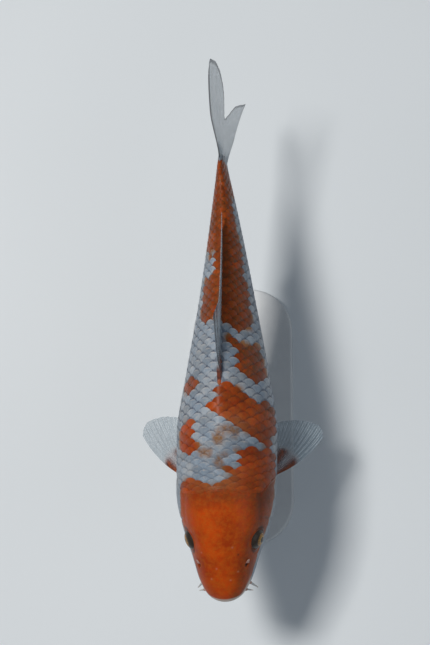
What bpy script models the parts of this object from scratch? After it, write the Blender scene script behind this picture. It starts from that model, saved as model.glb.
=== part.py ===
"""Koi carp at life size, swimming level above a plain display stand.

The fish faces -Y with its left side at +X, and +Z is up. The origin is the middle of the stand's
underside. The body is one loft through a few stations, parted by thin cuts into head, jaw, gill
covers, trunk and tail stalk. Each fin is a fan of rays that grows out of the skin.
"""

import math

import bmesh
import bpy
import numpy as np
from mathutils import Matrix, Vector

# Driving dimensions, in metres.
STANDARD_LENGTH = 0.279  # tip of the snout to the root of the tail fin
SNOUT_Y = -0.130
AXIS_Z = 0.112  # the body's axis above the surface that the stand rests on
SIDE_BEND = 0.0028  # how far the middle of the swimming body swings to its left
CUT = 0.0003  # the gap between neighbouring pieces

# The body's stations: place as a share of the standard length, then in metres the back above the
# axis, the belly below it, half the width and the height of the widest level, and last the
# fullness of the section above and below that level, where 2 is an ellipse.
STATIONS = np.array(
    (
        (0.000, -0.0050, 0.0050, 0.0000, -0.0050, 2.1, 2.1),
        (0.015, 0.0026, 0.0114, 0.0104, -0.0052, 2.1, 2.1),
        (0.050, 0.0100, 0.0168, 0.0164, -0.0065, 2.2, 2.1),
        (0.100, 0.0180, 0.0222, 0.0209, -0.0070, 2.2, 2.1),
        (0.160, 0.0255, 0.0280, 0.0268, -0.0060, 2.1, 2.1),
        (0.250, 0.0340, 0.0350, 0.0319, -0.0030, 1.95, 2.1),
        (0.380, 0.0420, 0.0410, 0.0322, 0.0010, 1.7, 2.2),
        (0.520, 0.0422, 0.0405, 0.0266, 0.0020, 1.55, 2.1),
        (0.680, 0.0335, 0.0325, 0.0187, 0.0015, 1.6, 2.0),
        (0.840, 0.0222, 0.0208, 0.0113, 0.0005, 1.8, 1.9),
        (0.950, 0.0175, 0.0165, 0.0060, 0.0000, 2.0, 2.0),
        (1.000, 0.0172, 0.0166, 0.0034, 0.0000, 2.0, 2.0),
        (1.035, 0.0165, 0.0160, 0.0016, 0.0000, 2.0, 2.0),
    )
)
BODY_END = STATIONS[-1, 0]
RING_POINTS = 32

# Where the body is parted, as places along it, with the number of rings in each length.
LENGTHS = {
    "head": (0.000, 0.285, 20),
    "trunk_front": (0.285, 0.550, 8),
    "trunk_rear": (0.550, 0.800, 8),
    "tail_stalk": (0.800, BODY_END, 8),
}

# The gill covers, the jaw and the eyes, cut out of the head.
GILL_PLACE, GILL_Z, GILL_LENGTH, GILL_HEIGHT, GILL_INNER_X = 0.233, -0.008, 0.0255, 0.040, 0.016
JAW_LENGTH, MOUTH_Z, MOUTH_SLOPE = 0.026, -0.0085, math.radians(9)
EYE_PLACE, EYE_TURN = 0.137, math.radians(62)
EYE_RADIUS, EYE_DEPTH, EYE_SUNK = 0.0068, 0.0044, 0.0024

# The feelers: place, turn round the body, length, root radius, and the way each points outwards.
BARBELS = {
    "barbel_upper": (0.028, math.radians(92), 0.0050, 0.0008, (0.80, -0.10, -0.59)),
    "barbel_corner": (0.044, math.radians(106), 0.0095, 0.0010, (0.46, -0.32, -0.83)),
}
BARBEL_TIP_SHARE = 0.4

# The fins' own thickness at the root, and the share of it left at the margin.
FIN_ROOT_THICKNESS, FIN_MARGIN_SHARE = 0.0022, 0.4
FIN_ROOTED = 0.0025  # how far a fin's rays start below the skin

# The rays of each fin: place along the fin's root, heading in degrees, length in metres, and the
# degrees by which the ray curls towards its tip.
DORSAL_RAYS = (
    (0.00, 33, 0.0450, 14),
    (0.10, 30, 0.0430, 12),
    (0.25, 27, 0.0330, 8),
    (0.50, 25, 0.0255, 6),
    (0.80, 23, 0.0205, 6),
    (1.00, 19, 0.0165, 6),
)
ANAL_RAYS = (
    (0.00, 52, 0.0300, 12),
    (0.15, 48, 0.0310, 12),
    (0.50, 42, 0.0235, 8),
    (1.00, 30, 0.0150, 6),
)
TAIL_RAYS = (
    (0.00, 34, 0.0610, 25),
    (0.06, 29.5, 0.0700, 24),
    (0.15, 22.5, 0.0680, 18),
    (0.28, 13, 0.0610, 10),
    (0.40, 4.5, 0.0490, 3),
    (0.50, 0, 0.0345, 0),
    (0.62, -9, 0.0405, 0),
    (0.78, -19, 0.0530, 4),
    (0.92, -28, 0.0640, 12),
    (1.00, -31.5, 0.0700, 18),
)
PECTORAL_RAYS = (
    (0.00, 52, 0.0500, 34),
    (0.12, 45, 0.0525, 28),
    (0.30, 35, 0.0480, 18),
    (0.55, 21, 0.0400, 8),
    (0.80, 6, 0.0325, 0),
    (1.00, -8, 0.0235, 0),
)
PELVIC_RAYS = (
    (0.00, 18, 0.0370, 14),
    (0.15, 14, 0.0390, 12),
    (0.50, 4, 0.0320, 6),
    (1.00, -8, 0.0190, 0),
)

DORSAL_ROOT, ANAL_ROOT = (0.474, 0.823), (0.735, 0.815)
DORSAL_TILT = 0.10  # slope of the dorsal fin to the fish's left, but for its front lobe
LOBE_PLACES, LOBE_LEAN = (0.02, 0.13), 0.0008  # where the lobe dies out, and its lean to the right
TAIL_ROOT_PLACE, TAIL_ROOT_HALF = 1.005, 0.0135
TAIL_TWIST, TAIL_EASE = math.radians(7), 0.030
TAIL_SWAY, TAIL_SWAY_REACH = 0.0047, 0.070
PECTORAL_ROOT = ((0.284, math.radians(111)), (0.311, math.radians(124)))
PECTORAL_DROOP = {"left": math.radians(36), "right": math.radians(32)}
PECTORAL_DIP = {"left": math.radians(20), "right": math.radians(0)}
PELVIC_ROOT = ((0.478, math.radians(158)), (0.508, math.radians(165)))
PELVIC_DROOP, PELVIC_DIP = math.radians(56), math.radians(16)

# The stand: a flat base with rounded corners and two rods up to the belly.
BASE_LENGTH, BASE_WIDTH, BASE_HEIGHT = 0.180, 0.070, 0.008
BASE_CORNER, BASE_EDGE = 0.030, 0.0012
ROD_PLACES = {"stand_rod_front": 0.345, "stand_rod_rear": 0.600}
ROD_RADIUS, COLLAR_RADIUS, COLLAR_HEIGHT, ROD_ENTERS = 0.0025, 0.0065, 0.0025, 0.006

ORANGE, WHITE, FIN_GREY = (0.62, 0.13, 0.02, 1), (0.66, 0.67, 0.68, 1), (0.62, 0.68, 0.70, 1)
EYE_BLACK, BASE_PALE, STEEL = (0.03, 0.025, 0.02, 1), (0.72, 0.75, 0.77, 1), (0.55, 0.56, 0.57, 1)

SIDES = {"left": 1, "right": -1}


def smooth(x, xs, ys):
    """Cubic through the points xs, ys that keeps to the side of each point its neighbours are on."""
    step, rise = np.diff(xs), np.diff(ys)
    slope = rise / step
    inner = slope[:-1] * slope[1:]
    weight_a, weight_b = 2 * step[1:] + step[:-1], step[1:] + 2 * step[:-1]
    with np.errstate(divide="ignore", invalid="ignore"):
        mean = (weight_a + weight_b) / (weight_a / slope[:-1] + weight_b / slope[1:])
    tangent = np.concatenate(([slope[0]], np.where(inner > 0, mean, 0.0), [slope[-1]]))
    x = np.clip(x, xs[0], xs[-1])
    i = np.clip(np.searchsorted(xs, x, side="right") - 1, 0, len(xs) - 2)
    t = (x - xs[i]) / step[i]
    bend_in = t * (1 - t) ** 2 * step[i] * tangent[i]
    bend_out = t * t * (t - 1) * step[i] * tangent[i + 1]
    return ys[i] + (3 - 2 * t) * t * t * rise[i] + bend_in + bend_out


def station(place, column):
    """A column of STATIONS at a place. The root of the place is what varies, so the snout is blunt."""
    return smooth(np.sqrt(place), np.sqrt(STATIONS[:, 0]), STATIONS[:, column])


def body_point(place, turn, grow=0.0):
    """Skin at a place along the body and a turn round it, from 0 at the back by the left to pi."""
    place, turn = np.broadcast_arrays(np.asarray(place, float), np.asarray(turn, float))
    back, belly, half, widest, arch, keel = (station(place, column) for column in range(1, 7))
    side, up = np.sin(turn), np.cos(turn)
    fullness = np.where(up > 0, arch, keel)
    reach = np.where(up > 0, back - widest, belly + widest) + grow
    x = (half + grow) * np.sign(side) * np.abs(side) ** (2 / fullness)
    z = widest + reach * np.sign(up) * np.abs(up) ** (2 / fullness)
    bend = SIDE_BEND * np.sin(math.pi * np.clip(place, 0, 1) ** 1.35)
    return np.stack((x + bend, SNOUT_Y + place * STANDARD_LENGTH, AXIS_Z + z), axis=-1)


def skin_frame(place, turn):
    """A point of the skin and its outward direction there."""
    step = 1e-3
    along = body_point(place + step, turn) - body_point(place - step, turn)
    round_body = body_point(place, turn + step) - body_point(place, turn - step)
    return Vector(body_point(place, turn)), Vector(np.cross(round_body, along)).normalized()


def material(name, colour, roughness, metallic=0.0):
    made = bpy.data.materials.new(name)
    made.use_nodes = True
    shader = made.node_tree.nodes["Principled BSDF"]
    shader.inputs["Base Color"].default_value = colour
    shader.inputs["Roughness"].default_value = roughness
    shader.inputs["Metallic"].default_value = metallic
    return made


def add_object(name, mesh, collection, finish=None):
    made = bpy.data.objects.new(name, mesh)
    collection.objects.link(made)
    if finish is not None:
        mesh.materials.append(finish)
    return made


def add_cutter(name, mesh):
    made = add_object(name, mesh, cutters)
    made.hide_render = True
    made.display_type = "WIRE"
    return made


def from_bmesh(name, shape):
    bmesh.ops.recalc_face_normals(shape, faces=shape.faces)
    mesh = bpy.data.meshes.new(name)
    shape.to_mesh(mesh)
    shape.free()
    return mesh


def cut(piece, tool, operation):
    modifier = piece.modifiers.new(f"{operation.lower()}_{tool.name}", "BOOLEAN")
    modifier.operation = operation
    modifier.object = tool
    modifier.solver = "EXACT"


def loft(name, rings):
    """A closed solid through rings of equally many points, each end closed by one flat face."""
    shape = bmesh.new()
    verts = [[shape.verts.new(point) for point in ring] for ring in rings]
    count = len(rings[0])
    for near, far in zip(verts, verts[1:]):
        for i in range(count):
            j = (i + 1) % count
            shape.faces.new((near[i], near[j], far[j], far[i]))
    shape.faces.new(verts[0])
    shape.faces.new(verts[-1])
    bmesh.ops.remove_doubles(shape, verts=shape.verts, dist=1e-6)
    return from_bmesh(name, shape)


def ring_places(name):
    """The places of a length's rings, closer together towards the snout."""
    start, end, count = LENGTHS[name]
    return np.linspace(math.sqrt(start), math.sqrt(end), count + 1) ** 2


def body_rings(places, grow=0.0):
    turns = np.linspace(0, 2 * math.pi, RING_POINTS, endpoint=False)
    return body_point(places[:, None], turns[None, :], grow)


def body_length(name, finish):
    """One length of the body, half a cut short at each end that meets a neighbour."""
    places = ring_places(name)
    half_cut = CUT / 2 / STANDARD_LENGTH
    if places[0] > 0:
        places[0] += half_cut
    if places[-1] < BODY_END:
        places[-1] -= half_cut
    piece = add_object(name, loft(name, body_rings(places)), koi, finish)
    piece.data.shade_smooth()
    piece.data.set_sharp_from_angle(angle=math.radians(40))
    return piece


def clearance_body():
    """The whole body grown by one cut, which the fins, rods and feelers are trimmed by."""
    places = np.unique(np.concatenate([ring_places(name) for name in LENGTHS]))
    places[-1] += CUT / STANDARD_LENGTH
    return add_cutter("body_clearance", loft("body_clearance", body_rings(places, CUT)))


def ellipsoid(name, centre, axis, radius, depth, segments=20, rings=12):
    """A sphere flattened to the given depth along its axis."""
    shape = bmesh.new()
    bmesh.ops.create_uvsphere(shape, u_segments=segments, v_segments=rings, radius=1)
    size = Matrix.Diagonal((radius, radius, depth, 1))
    turn = Vector(axis).to_track_quat("Z", "Y").to_matrix().to_4x4()
    bmesh.ops.transform(shape, matrix=Matrix.Translation(centre) @ turn @ size, verts=shape.verts)
    return from_bmesh(name, shape)


def add_eyes(head):
    for side, sign in SIDES.items():
        surface, outward = skin_frame(EYE_PLACE, sign * EYE_TURN)
        centre = surface - outward * EYE_SUNK
        name = f"eye_{side}"
        socket = add_cutter(
            f"socket_{side}",
            ellipsoid(f"socket_{side}", centre, outward, EYE_RADIUS + CUT, EYE_DEPTH + CUT),
        )
        cut(head, socket, "DIFFERENCE")
        eye = ellipsoid(name, centre, outward, EYE_RADIUS, EYE_DEPTH)
        add_object(name, eye, koi, eye_finish).data.shade_smooth()


def gill_block(name, sign, grow):
    """An oval block through one side of the head, lying across the fish."""
    depth = 0.040
    shape = bmesh.new()
    bmesh.ops.create_cone(
        shape, cap_ends=True, cap_tris=False, segments=36, radius1=1, radius2=1, depth=depth
    )
    size = Matrix.Diagonal((GILL_HEIGHT / 2 + grow, GILL_LENGTH / 2 + grow, 1, 1))
    place = Vector(
        (
            sign * (GILL_INNER_X - grow + depth / 2),
            SNOUT_Y + GILL_PLACE * STANDARD_LENGTH,
            AXIS_Z + GILL_Z,
        )
    )
    lay = Matrix.Rotation(math.radians(90), 4, "Y")
    bmesh.ops.transform(shape, matrix=Matrix.Translation(place) @ lay @ size, verts=shape.verts)
    return add_cutter(name, from_bmesh(name, shape))


def add_gill_covers(head):
    for side, sign in SIDES.items():
        cover = body_length("head", skin_white)
        cover.name = f"gill_cover_{side}"
        cut(cover, gill_block(f"gill_block_{side}", sign, 0.0), "INTERSECT")
        cut(head, gill_block(f"gill_room_{side}", sign, CUT), "DIFFERENCE")


def jaw_block(name, grow):
    """A block under the mouth line, from before the snout back to the jaw's hinge."""
    width, height, before = 0.06, 0.03, 0.01
    length = JAW_LENGTH + before + grow
    shape = bmesh.new()
    bmesh.ops.create_cube(shape, size=1)
    size = Matrix.Diagonal((width, length, height, 1))
    centred = Matrix.Translation((0, length / 2 - before, grow - height / 2))
    slope = Matrix.Rotation(-MOUTH_SLOPE, 4, "X")
    place = Matrix.Translation((0, SNOUT_Y, AXIS_Z + MOUTH_Z))
    bmesh.ops.transform(shape, matrix=place @ slope @ centred @ size, verts=shape.verts)
    return add_cutter(name, from_bmesh(name, shape))


def add_jaw(head):
    jaw = body_length("head", skin_white)
    jaw.name = "lower_jaw"
    cut(jaw, jaw_block("jaw_block", 0.0), "INTERSECT")
    cut(head, jaw_block("jaw_room", CUT), "DIFFERENCE")


def as_mesh_object(curve_object, name):
    """A curve object made a mesh with its caps welded, so that it can be trimmed."""
    graph = bpy.context.evaluated_depsgraph_get()
    mesh = bpy.data.meshes.new_from_object(curve_object.evaluated_get(graph))
    shape = bmesh.new()
    shape.from_mesh(mesh)
    bmesh.ops.remove_doubles(shape, verts=shape.verts, dist=1e-6)
    made = add_object(name, from_bmesh(name, shape), koi, skin_white)
    made.matrix_world = curve_object.matrix_world
    bpy.data.objects.remove(curve_object)
    return made


def add_barbels(body):
    """Four feelers: a short pair on the upper lip and a longer pair at the corners of the mouth."""
    for kind, (place, turn, length, radius, way) in BARBELS.items():
        for side, sign in SIDES.items():
            name = f"{kind}_{side}"
            root = Vector(body_point(place, sign * turn))
            way_out = Vector((sign * way[0], way[1], way[2])).normalized()
            curve = bpy.data.curves.new(name, "CURVE")
            curve.dimensions, curve.bevel_depth, curve.bevel_resolution = "3D", radius, 2
            curve.use_fill_caps = True
            spline = curve.splines.new("POLY")
            shares = np.linspace(-0.15, 1, 7)
            spline.points.add(len(shares) - 1)
            for point, share in zip(spline.points, shares):
                droop = Vector((0, 0, -0.15 * length * share * share))
                point.co = (*(root + way_out * length * share + droop), 1)
                point.radius = 1 - (1 - BARBEL_TIP_SHARE) * max(share, 0)
            feeler = as_mesh_object(add_object(f"{name}_curve", curve, koi), name)
            feeler.data.shade_smooth()
            cut(feeler, body, "DIFFERENCE")


def fan(root, rays, along, across, count, steps):
    """Points of a fan of rays, as an array of rays by steps by 3.

    root gives the start of the ray at a place along the fin's root. A ray starts out at half its
    curl over its heading, which is counted from along towards across, and ends at half under it.
    """
    table = np.array(rays, float)
    places = np.linspace(0, 1, count)
    heading, length, curl = (smooth(places, table[:, 0], table[:, i]) for i in (1, 2, 3))
    middles = (np.arange(steps) + 0.5) / steps
    turn = np.radians(heading[:, None] + curl[:, None] * (0.5 - middles[None, :]))
    stride = (length / steps)[:, None, None]
    strides = stride * (np.cos(turn)[..., None] * along + np.sin(turn)[..., None] * across)
    starts = np.array([root(place) for place in places])[:, None, :]
    return np.concatenate((starts, starts + np.cumsum(strides, axis=1)), axis=1)


def fin(name, grid, body):
    """A thin solid on a grid of points, thick at the root and thin at the margin."""
    rays, steps = grid.shape[:2]
    shape = bmesh.new()
    verts = [[shape.verts.new(point) for point in ray] for ray in grid]
    for near, far in zip(verts, verts[1:]):
        for i in range(steps - 1):
            shape.faces.new((near[i], near[i + 1], far[i + 1], far[i]))
    made = add_object(name, from_bmesh(name, shape), koi, fin_finish)
    weights = made.vertex_groups.new(name="thickness")
    for step in range(steps):
        share = 1 - (1 - FIN_MARGIN_SHARE) * math.sqrt(step / (steps - 1))
        weights.add([ray * steps + step for ray in range(rays)], share, "REPLACE")
    solidify = made.modifiers.new("thickness", "SOLIDIFY")
    solidify.thickness = FIN_ROOT_THICKNESS
    solidify.vertex_group = weights.name
    solidify.offset = 0
    cut(made, body, "DIFFERENCE")
    made.data.shade_smooth()
    made.data.set_sharp_from_angle(angle=math.radians(40))
    return made


def ridge(places, turn):
    """Root of a fin on the back or the belly: its rays start a little way under the skin."""

    def root(share):
        place = places[0] + (places[1] - places[0]) * share
        point = body_point(place, turn)
        point[2] -= FIN_ROOTED * math.cos(turn)
        return point

    return root


BACKWARDS, UPWARDS = np.array((0, 1, 0)), np.array((0, 0, 1))


def add_dorsal_fin(body):
    """The long fin of the back, half lowered. It tilts to the left, and its first rays fall right."""
    grid = fan(ridge(DORSAL_ROOT, 0.0), DORSAL_RAYS, BACKWARDS, UPWARDS, 16, 7)
    height = grid[..., 2] - grid[:, :1, 2]
    rise = np.linspace(0, 1, grid.shape[1])[None, :]
    behind_lobe = np.interp(np.linspace(0, 1, grid.shape[0]), LOBE_PLACES, (0, 1))[:, None]
    grid[..., 0] += behind_lobe * DORSAL_TILT * height - (1 - behind_lobe) * LOBE_LEAN * rise**1.5
    fin("dorsal_fin", grid, body)


def add_anal_fin(body):
    grid = fan(ridge(ANAL_ROOT, math.pi), ANAL_RAYS, BACKWARDS, -UPWARDS, 8, 6)
    fin("anal_fin", grid, body)


def add_tail_fin(body):
    """The forked tail fin, in two lobes that part at the middle ray.

    It sways to the left towards its tips and twists, its upper lobe to the right.
    """

    def root(share):
        edge = TAIL_ROOT_HALF * (1 - 2 * share)
        return np.array((0.0, SNOUT_Y + TAIL_ROOT_PLACE * STANDARD_LENGTH, AXIS_Z + edge))

    grid = fan(root, TAIL_RAYS, BACKWARDS, UPWARDS, 21, 8)
    behind = grid[..., 1] - SNOUT_Y - STANDARD_LENGTH
    ease = np.clip(behind / TAIL_EASE, 0, 1)
    ease = ease * ease * (3 - 2 * ease)
    sway = TAIL_SWAY * (np.maximum(behind, 0) / TAIL_SWAY_REACH) ** 2
    grid[..., 0] += sway - (grid[..., 2] - AXIS_Z) * math.tan(TAIL_TWIST) * ease
    middle = grid.shape[0] // 2
    for name, lobe, shift in (
        ("tail_fin_upper", grid[: middle + 1].copy(), CUT / 2),
        ("tail_fin_lower", grid[middle:].copy(), -CUT / 2),
    ):
        edge = -1 if shift > 0 else 0
        lobe[edge, :, 2] += shift
        fin(name, lobe, body)


def paired_fin(name, sign, root_ends, rays, droop, dip, body):
    """A fin of a pair: it spreads outwards and droops, with its leading ray foremost."""
    outwards = np.array((sign * math.cos(droop), 0, -math.sin(droop)))
    backwards = np.array((0, math.cos(dip), -math.sin(dip)))
    (place_a, turn_a), (place_b, turn_b) = root_ends

    def root(share):
        place = place_a + (place_b - place_a) * share
        turn = turn_a + (turn_b - turn_a) * share
        surface, outward = skin_frame(place, sign * turn)
        return np.array(surface - outward * FIN_ROOTED)

    fin(name, fan(root, rays, backwards, outwards, 12, 7), body)


def add_paired_fins(body):
    for side, sign in SIDES.items():
        droop, dip = PECTORAL_DROOP[side], PECTORAL_DIP[side]
        paired_fin(f"pectoral_fin_{side}", sign, PECTORAL_ROOT, PECTORAL_RAYS, droop, dip, body)
        paired_fin(
            f"pelvic_fin_{side}", sign, PELVIC_ROOT, PELVIC_RAYS, PELVIC_DROOP, PELVIC_DIP, body
        )


def add_stand(body):
    """A flat base with rounded corners, and two turned rods that end just under the belly."""
    shape = bmesh.new()
    bmesh.ops.create_cube(shape, size=1)
    size = Matrix.Diagonal((BASE_WIDTH, BASE_LENGTH, BASE_HEIGHT, 1))
    lift = Matrix.Translation((0, 0, BASE_HEIGHT / 2))
    bmesh.ops.transform(shape, matrix=lift @ size, verts=shape.verts)
    upright = [e for e in shape.edges if abs(e.verts[0].co.z - e.verts[1].co.z) > BASE_HEIGHT / 2]
    bmesh.ops.bevel(
        shape, geom=upright, offset=BASE_CORNER, segments=8, profile=0.5, affect="EDGES"
    )
    top = [e for e in shape.edges if min(v.co.z for v in e.verts) > BASE_HEIGHT * 0.9]
    bmesh.ops.bevel(shape, geom=top, offset=BASE_EDGE, segments=2, profile=0.5, affect="EDGES")
    add_object("stand_base", from_bmesh("stand_base", shape), koi, base_finish)
    for name, place in ROD_PLACES.items():
        belly = body_point(place, math.pi)
        add_rod(name, belly, body)


def add_rod(name, belly, body):
    """A rod turned with a collar at its foot, trimmed to the slope of the belly over it."""
    foot = BASE_HEIGHT + CUT
    top = belly[2] + ROD_ENTERS
    profile = (
        (0, foot),
        (COLLAR_RADIUS, foot),
        (COLLAR_RADIUS, foot + COLLAR_HEIGHT * 0.6),
        (COLLAR_RADIUS * 0.85, foot + COLLAR_HEIGHT),
        (ROD_RADIUS, foot + COLLAR_HEIGHT),
        (ROD_RADIUS, top),
        (0, top),
    )
    shape = bmesh.new()
    verts = [shape.verts.new((radius, 0, z)) for radius, z in reversed(profile)]
    for a, b in zip(verts, verts[1:]):
        shape.edges.new((a, b))
    mesh = bpy.data.meshes.new(name)
    shape.to_mesh(mesh)
    shape.free()
    rod = add_object(name, mesh, koi, rod_finish)
    rod.location = (belly[0], belly[1], 0)
    screw = rod.modifiers.new("turned", "SCREW")
    screw.steps = screw.render_steps = 24
    screw.use_merge_vertices = True
    screw.merge_threshold = 1e-5
    screw.use_smooth_shade = False
    cut(rod, body, "DIFFERENCE")


for old in list(bpy.data.objects):
    bpy.data.objects.remove(old)
koi = bpy.data.collections.new("koi_carp")
cutters = bpy.data.collections.new("cutters")
bpy.context.scene.collection.children.link(koi)
bpy.context.scene.collection.children.link(cutters)

skin_orange = material("skin_orange", ORANGE, 0.35)
skin_white = material("skin_white", WHITE, 0.35)
fin_finish = material("fin", FIN_GREY, 0.35)
eye_finish = material("eye", EYE_BLACK, 0.1)
base_finish = material("stand_base", BASE_PALE, 0.5)
rod_finish = material("stand_rod", STEEL, 0.3, metallic=1.0)

clearance = clearance_body()
head_piece = body_length("head", skin_orange)
add_eyes(head_piece)
add_gill_covers(head_piece)
add_jaw(head_piece)
for length_name in ("trunk_front", "trunk_rear", "tail_stalk"):
    body_length(length_name, skin_white)
add_barbels(clearance)
add_dorsal_fin(clearance)
add_anal_fin(clearance)
add_tail_fin(clearance)
add_paired_fins(clearance)
add_stand(clearance)
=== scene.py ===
"""Looks of a life-size koi carp that swims level above a plain display stand.

The fish faces -Y with its left side at +X, and +Z is up. A spot on its body is named by its place,
a share of the standard length from the snout, and its share of the way round half the girth, from
0 at the back to 1 at the belly, with the fish's left positive and its right negative.
"""

import math

import bpy
import numpy as np
from mathutils import Matrix, Vector


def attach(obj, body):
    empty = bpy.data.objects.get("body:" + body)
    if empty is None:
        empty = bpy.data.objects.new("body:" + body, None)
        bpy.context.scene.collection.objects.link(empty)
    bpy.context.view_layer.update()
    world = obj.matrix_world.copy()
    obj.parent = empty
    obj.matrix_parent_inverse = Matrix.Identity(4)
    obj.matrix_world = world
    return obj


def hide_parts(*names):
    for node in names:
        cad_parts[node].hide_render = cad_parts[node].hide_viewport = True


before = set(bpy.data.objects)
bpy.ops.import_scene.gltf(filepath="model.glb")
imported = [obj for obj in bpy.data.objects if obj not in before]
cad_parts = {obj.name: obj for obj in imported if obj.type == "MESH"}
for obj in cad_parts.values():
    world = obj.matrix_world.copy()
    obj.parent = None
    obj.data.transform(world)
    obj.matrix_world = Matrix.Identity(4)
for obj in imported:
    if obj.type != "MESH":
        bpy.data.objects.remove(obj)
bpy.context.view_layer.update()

# The skin of the whole fish, from the lips to the root of the tail: one cast shell, painted and
# lacquered. On the head it is bare. Behind the gill covers it lies deeper by the coat's depth, and
# the scales are laid on it. The eyes, nostrils, mouth and gill slits are pressed into it.

STANDARD_LENGTH, SNOUT_Y, AXIS_Z, SIDE_BEND = 0.279, -0.130, 0.112, 0.0028

# Stations: place, then in metres the back above the axis, the belly below it, half the width and
# the widest level, and last the fullness of the section above and below that level.
STATIONS = np.array(
    (
        (0.000, -0.0050, 0.0050, 0.0000, -0.0050, 2.1, 2.1),
        (0.015, 0.0026, 0.0114, 0.0104, -0.0052, 2.1, 2.1),
        (0.050, 0.0100, 0.0168, 0.0164, -0.0065, 2.2, 2.1),
        (0.100, 0.0180, 0.0222, 0.0209, -0.0070, 2.2, 2.1),
        (0.160, 0.0255, 0.0280, 0.0268, -0.0060, 2.1, 2.1),
        (0.250, 0.0340, 0.0350, 0.0319, -0.0030, 1.95, 2.1),
        (0.380, 0.0420, 0.0410, 0.0322, 0.0010, 1.7, 2.2),
        (0.520, 0.0422, 0.0405, 0.0266, 0.0020, 1.55, 2.1),
        (0.680, 0.0335, 0.0325, 0.0187, 0.0015, 1.6, 2.0),
        (0.840, 0.0222, 0.0208, 0.0113, 0.0005, 1.8, 1.9),
        (0.950, 0.0175, 0.0165, 0.0060, 0.0000, 2.0, 2.0),
        (1.000, 0.0172, 0.0166, 0.0034, 0.0000, 2.0, 2.0),
        (1.035, 0.0165, 0.0160, 0.0016, 0.0000, 2.0, 2.0),
    )
)
BODY_END = STATIONS[-1, 0]
SIDES = {"left": 1, "right": -1}


def ease(x):
    """0 below 0, 1 above 1, and 3x2 - 2x3 between."""
    x = np.clip(x, 0, 1)
    return x * x * (3 - 2 * x)


def hump(x):
    """A rounded hump one high at 0, e to the minus x squared."""
    return np.exp(-x * x)


def smooth(x, xs, ys):
    """Cubic through the points xs, ys that keeps to the side of each point its neighbours are on."""
    step, rise = np.diff(xs), np.diff(ys)
    slope = rise / step
    inner = slope[:-1] * slope[1:]
    weight_a, weight_b = 2 * step[1:] + step[:-1], step[1:] + 2 * step[:-1]
    with np.errstate(divide="ignore", invalid="ignore"):
        mean = (weight_a + weight_b) / (weight_a / slope[:-1] + weight_b / slope[1:])
    tangent = np.concatenate(([slope[0]], np.where(inner > 0, mean, 0.0), [slope[-1]]))
    x = np.clip(x, xs[0], xs[-1])
    i = np.clip(np.searchsorted(xs, x, side="right") - 1, 0, len(xs) - 2)
    t = (x - xs[i]) / step[i]
    bend_in = t * (1 - t) ** 2 * step[i] * tangent[i]
    bend_out = t * t * (t - 1) * step[i] * tangent[i + 1]
    return ys[i] + (3 - 2 * t) * t * t * rise[i] + bend_in + bend_out


def station(place, column):
    """A column of STATIONS at a place. The root of the place is what varies, so the snout is blunt."""
    return smooth(np.sqrt(place), np.sqrt(STATIONS[:, 0]), STATIONS[:, column])


def body_point(place, turn):
    """The body's outside at a place and a turn round it, 0 at the back and positive to the left.

    Each section is two half superellipses that meet at the widest level: across it is half the
    width times sin(turn) to the power 2/fullness, and up it is the reach times cos(turn) likewise.
    """
    place, turn = np.broadcast_arrays(np.asarray(place, float), np.asarray(turn, float))
    back, belly, half, widest, arch, keel = (station(place, column) for column in range(1, 7))
    side, up = np.sin(turn), np.cos(turn)
    fullness = np.where(up > 0, arch, keel)
    reach = np.where(up > 0, back - widest, belly + widest)
    x = half * np.sign(side) * np.abs(side) ** (2 / fullness)
    z = widest + reach * np.sign(up) * np.abs(up) ** (2 / fullness)
    bend = SIDE_BEND * np.sin(math.pi * np.clip(place, 0, 1) ** 1.35)
    return np.stack((x + bend, SNOUT_Y + place * STANDARD_LENGTH, AXIS_Z + z), axis=-1)


# Half the girth at each of many places, and the turn that lies each share of the way round it.
girth_roots = np.linspace(0.01, math.sqrt(BODY_END), 260)
girth_turns = np.linspace(0, math.pi, 721)
girth_shares = np.linspace(0, 1, 181)
around = body_point(girth_roots[:, None] ** 2, girth_turns[None, :])
arc = np.cumsum(np.linalg.norm(np.diff(around, axis=1), axis=-1), axis=1)
arc = np.concatenate((np.zeros((len(arc), 1)), arc), axis=1)
turn_table = np.array([np.interp(girth_shares, row / row[-1], girth_turns) for row in arc])


def half_girth(place):
    """The length round the body from the back to the belly at a place."""
    return np.interp(np.sqrt(place), girth_roots, arc[:, -1])


def turn_at(place, share):
    """The turn at a share of the way round, read between the rows and columns of the table."""
    place, share = np.broadcast_arrays(np.asarray(place, float), np.asarray(share, float))
    share = np.mod(share + 1, 2) - 1
    last_row, last_column = len(girth_roots) - 1, len(girth_shares) - 1
    span = girth_roots[-1] - girth_roots[0]
    row = np.clip((np.sqrt(place) - girth_roots[0]) / span * last_row, 0, last_row - 1e-6)
    column = np.clip(np.abs(share) * last_column, 0, last_column - 1e-6)
    i, j = row.astype(int), column.astype(int)
    a, b = row - i, column - j
    near = turn_table[i, j] * (1 - b) + turn_table[i, j + 1] * b
    far = turn_table[i + 1, j] * (1 - b) + turn_table[i + 1, j + 1] * b
    return np.sign(share) * (near * (1 - a) + far * a)


def outward(place, turn):
    """The body's outward direction: the step round it crossed with the step along it."""
    step = 1e-3
    before = np.maximum(place - step, place * 0.5)
    along = body_point(place + step, turn) - body_point(before, turn)
    across = body_point(place, turn + step) - body_point(place, turn - step)
    normal = np.cross(across, along)
    return normal / np.maximum(np.linalg.norm(normal, axis=-1, keepdims=True), 1e-12)


def lifted(place, share, lift):
    """The body's outside at a place and share, moved outwards by lift."""
    turn = turn_at(place, share)
    return body_point(place, turn) + outward(place, turn) * np.asarray(lift)[..., None]


COAT_DEPTH, COAT_THINNING = 0.0009, 0.62


def coat_depth(place):
    """How deep the coat of scales is. It thins out, by an ease, at the root of the tail."""
    return COAT_DEPTH * (1 - COAT_THINNING * ease((place - 0.93) / 0.10))


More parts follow.
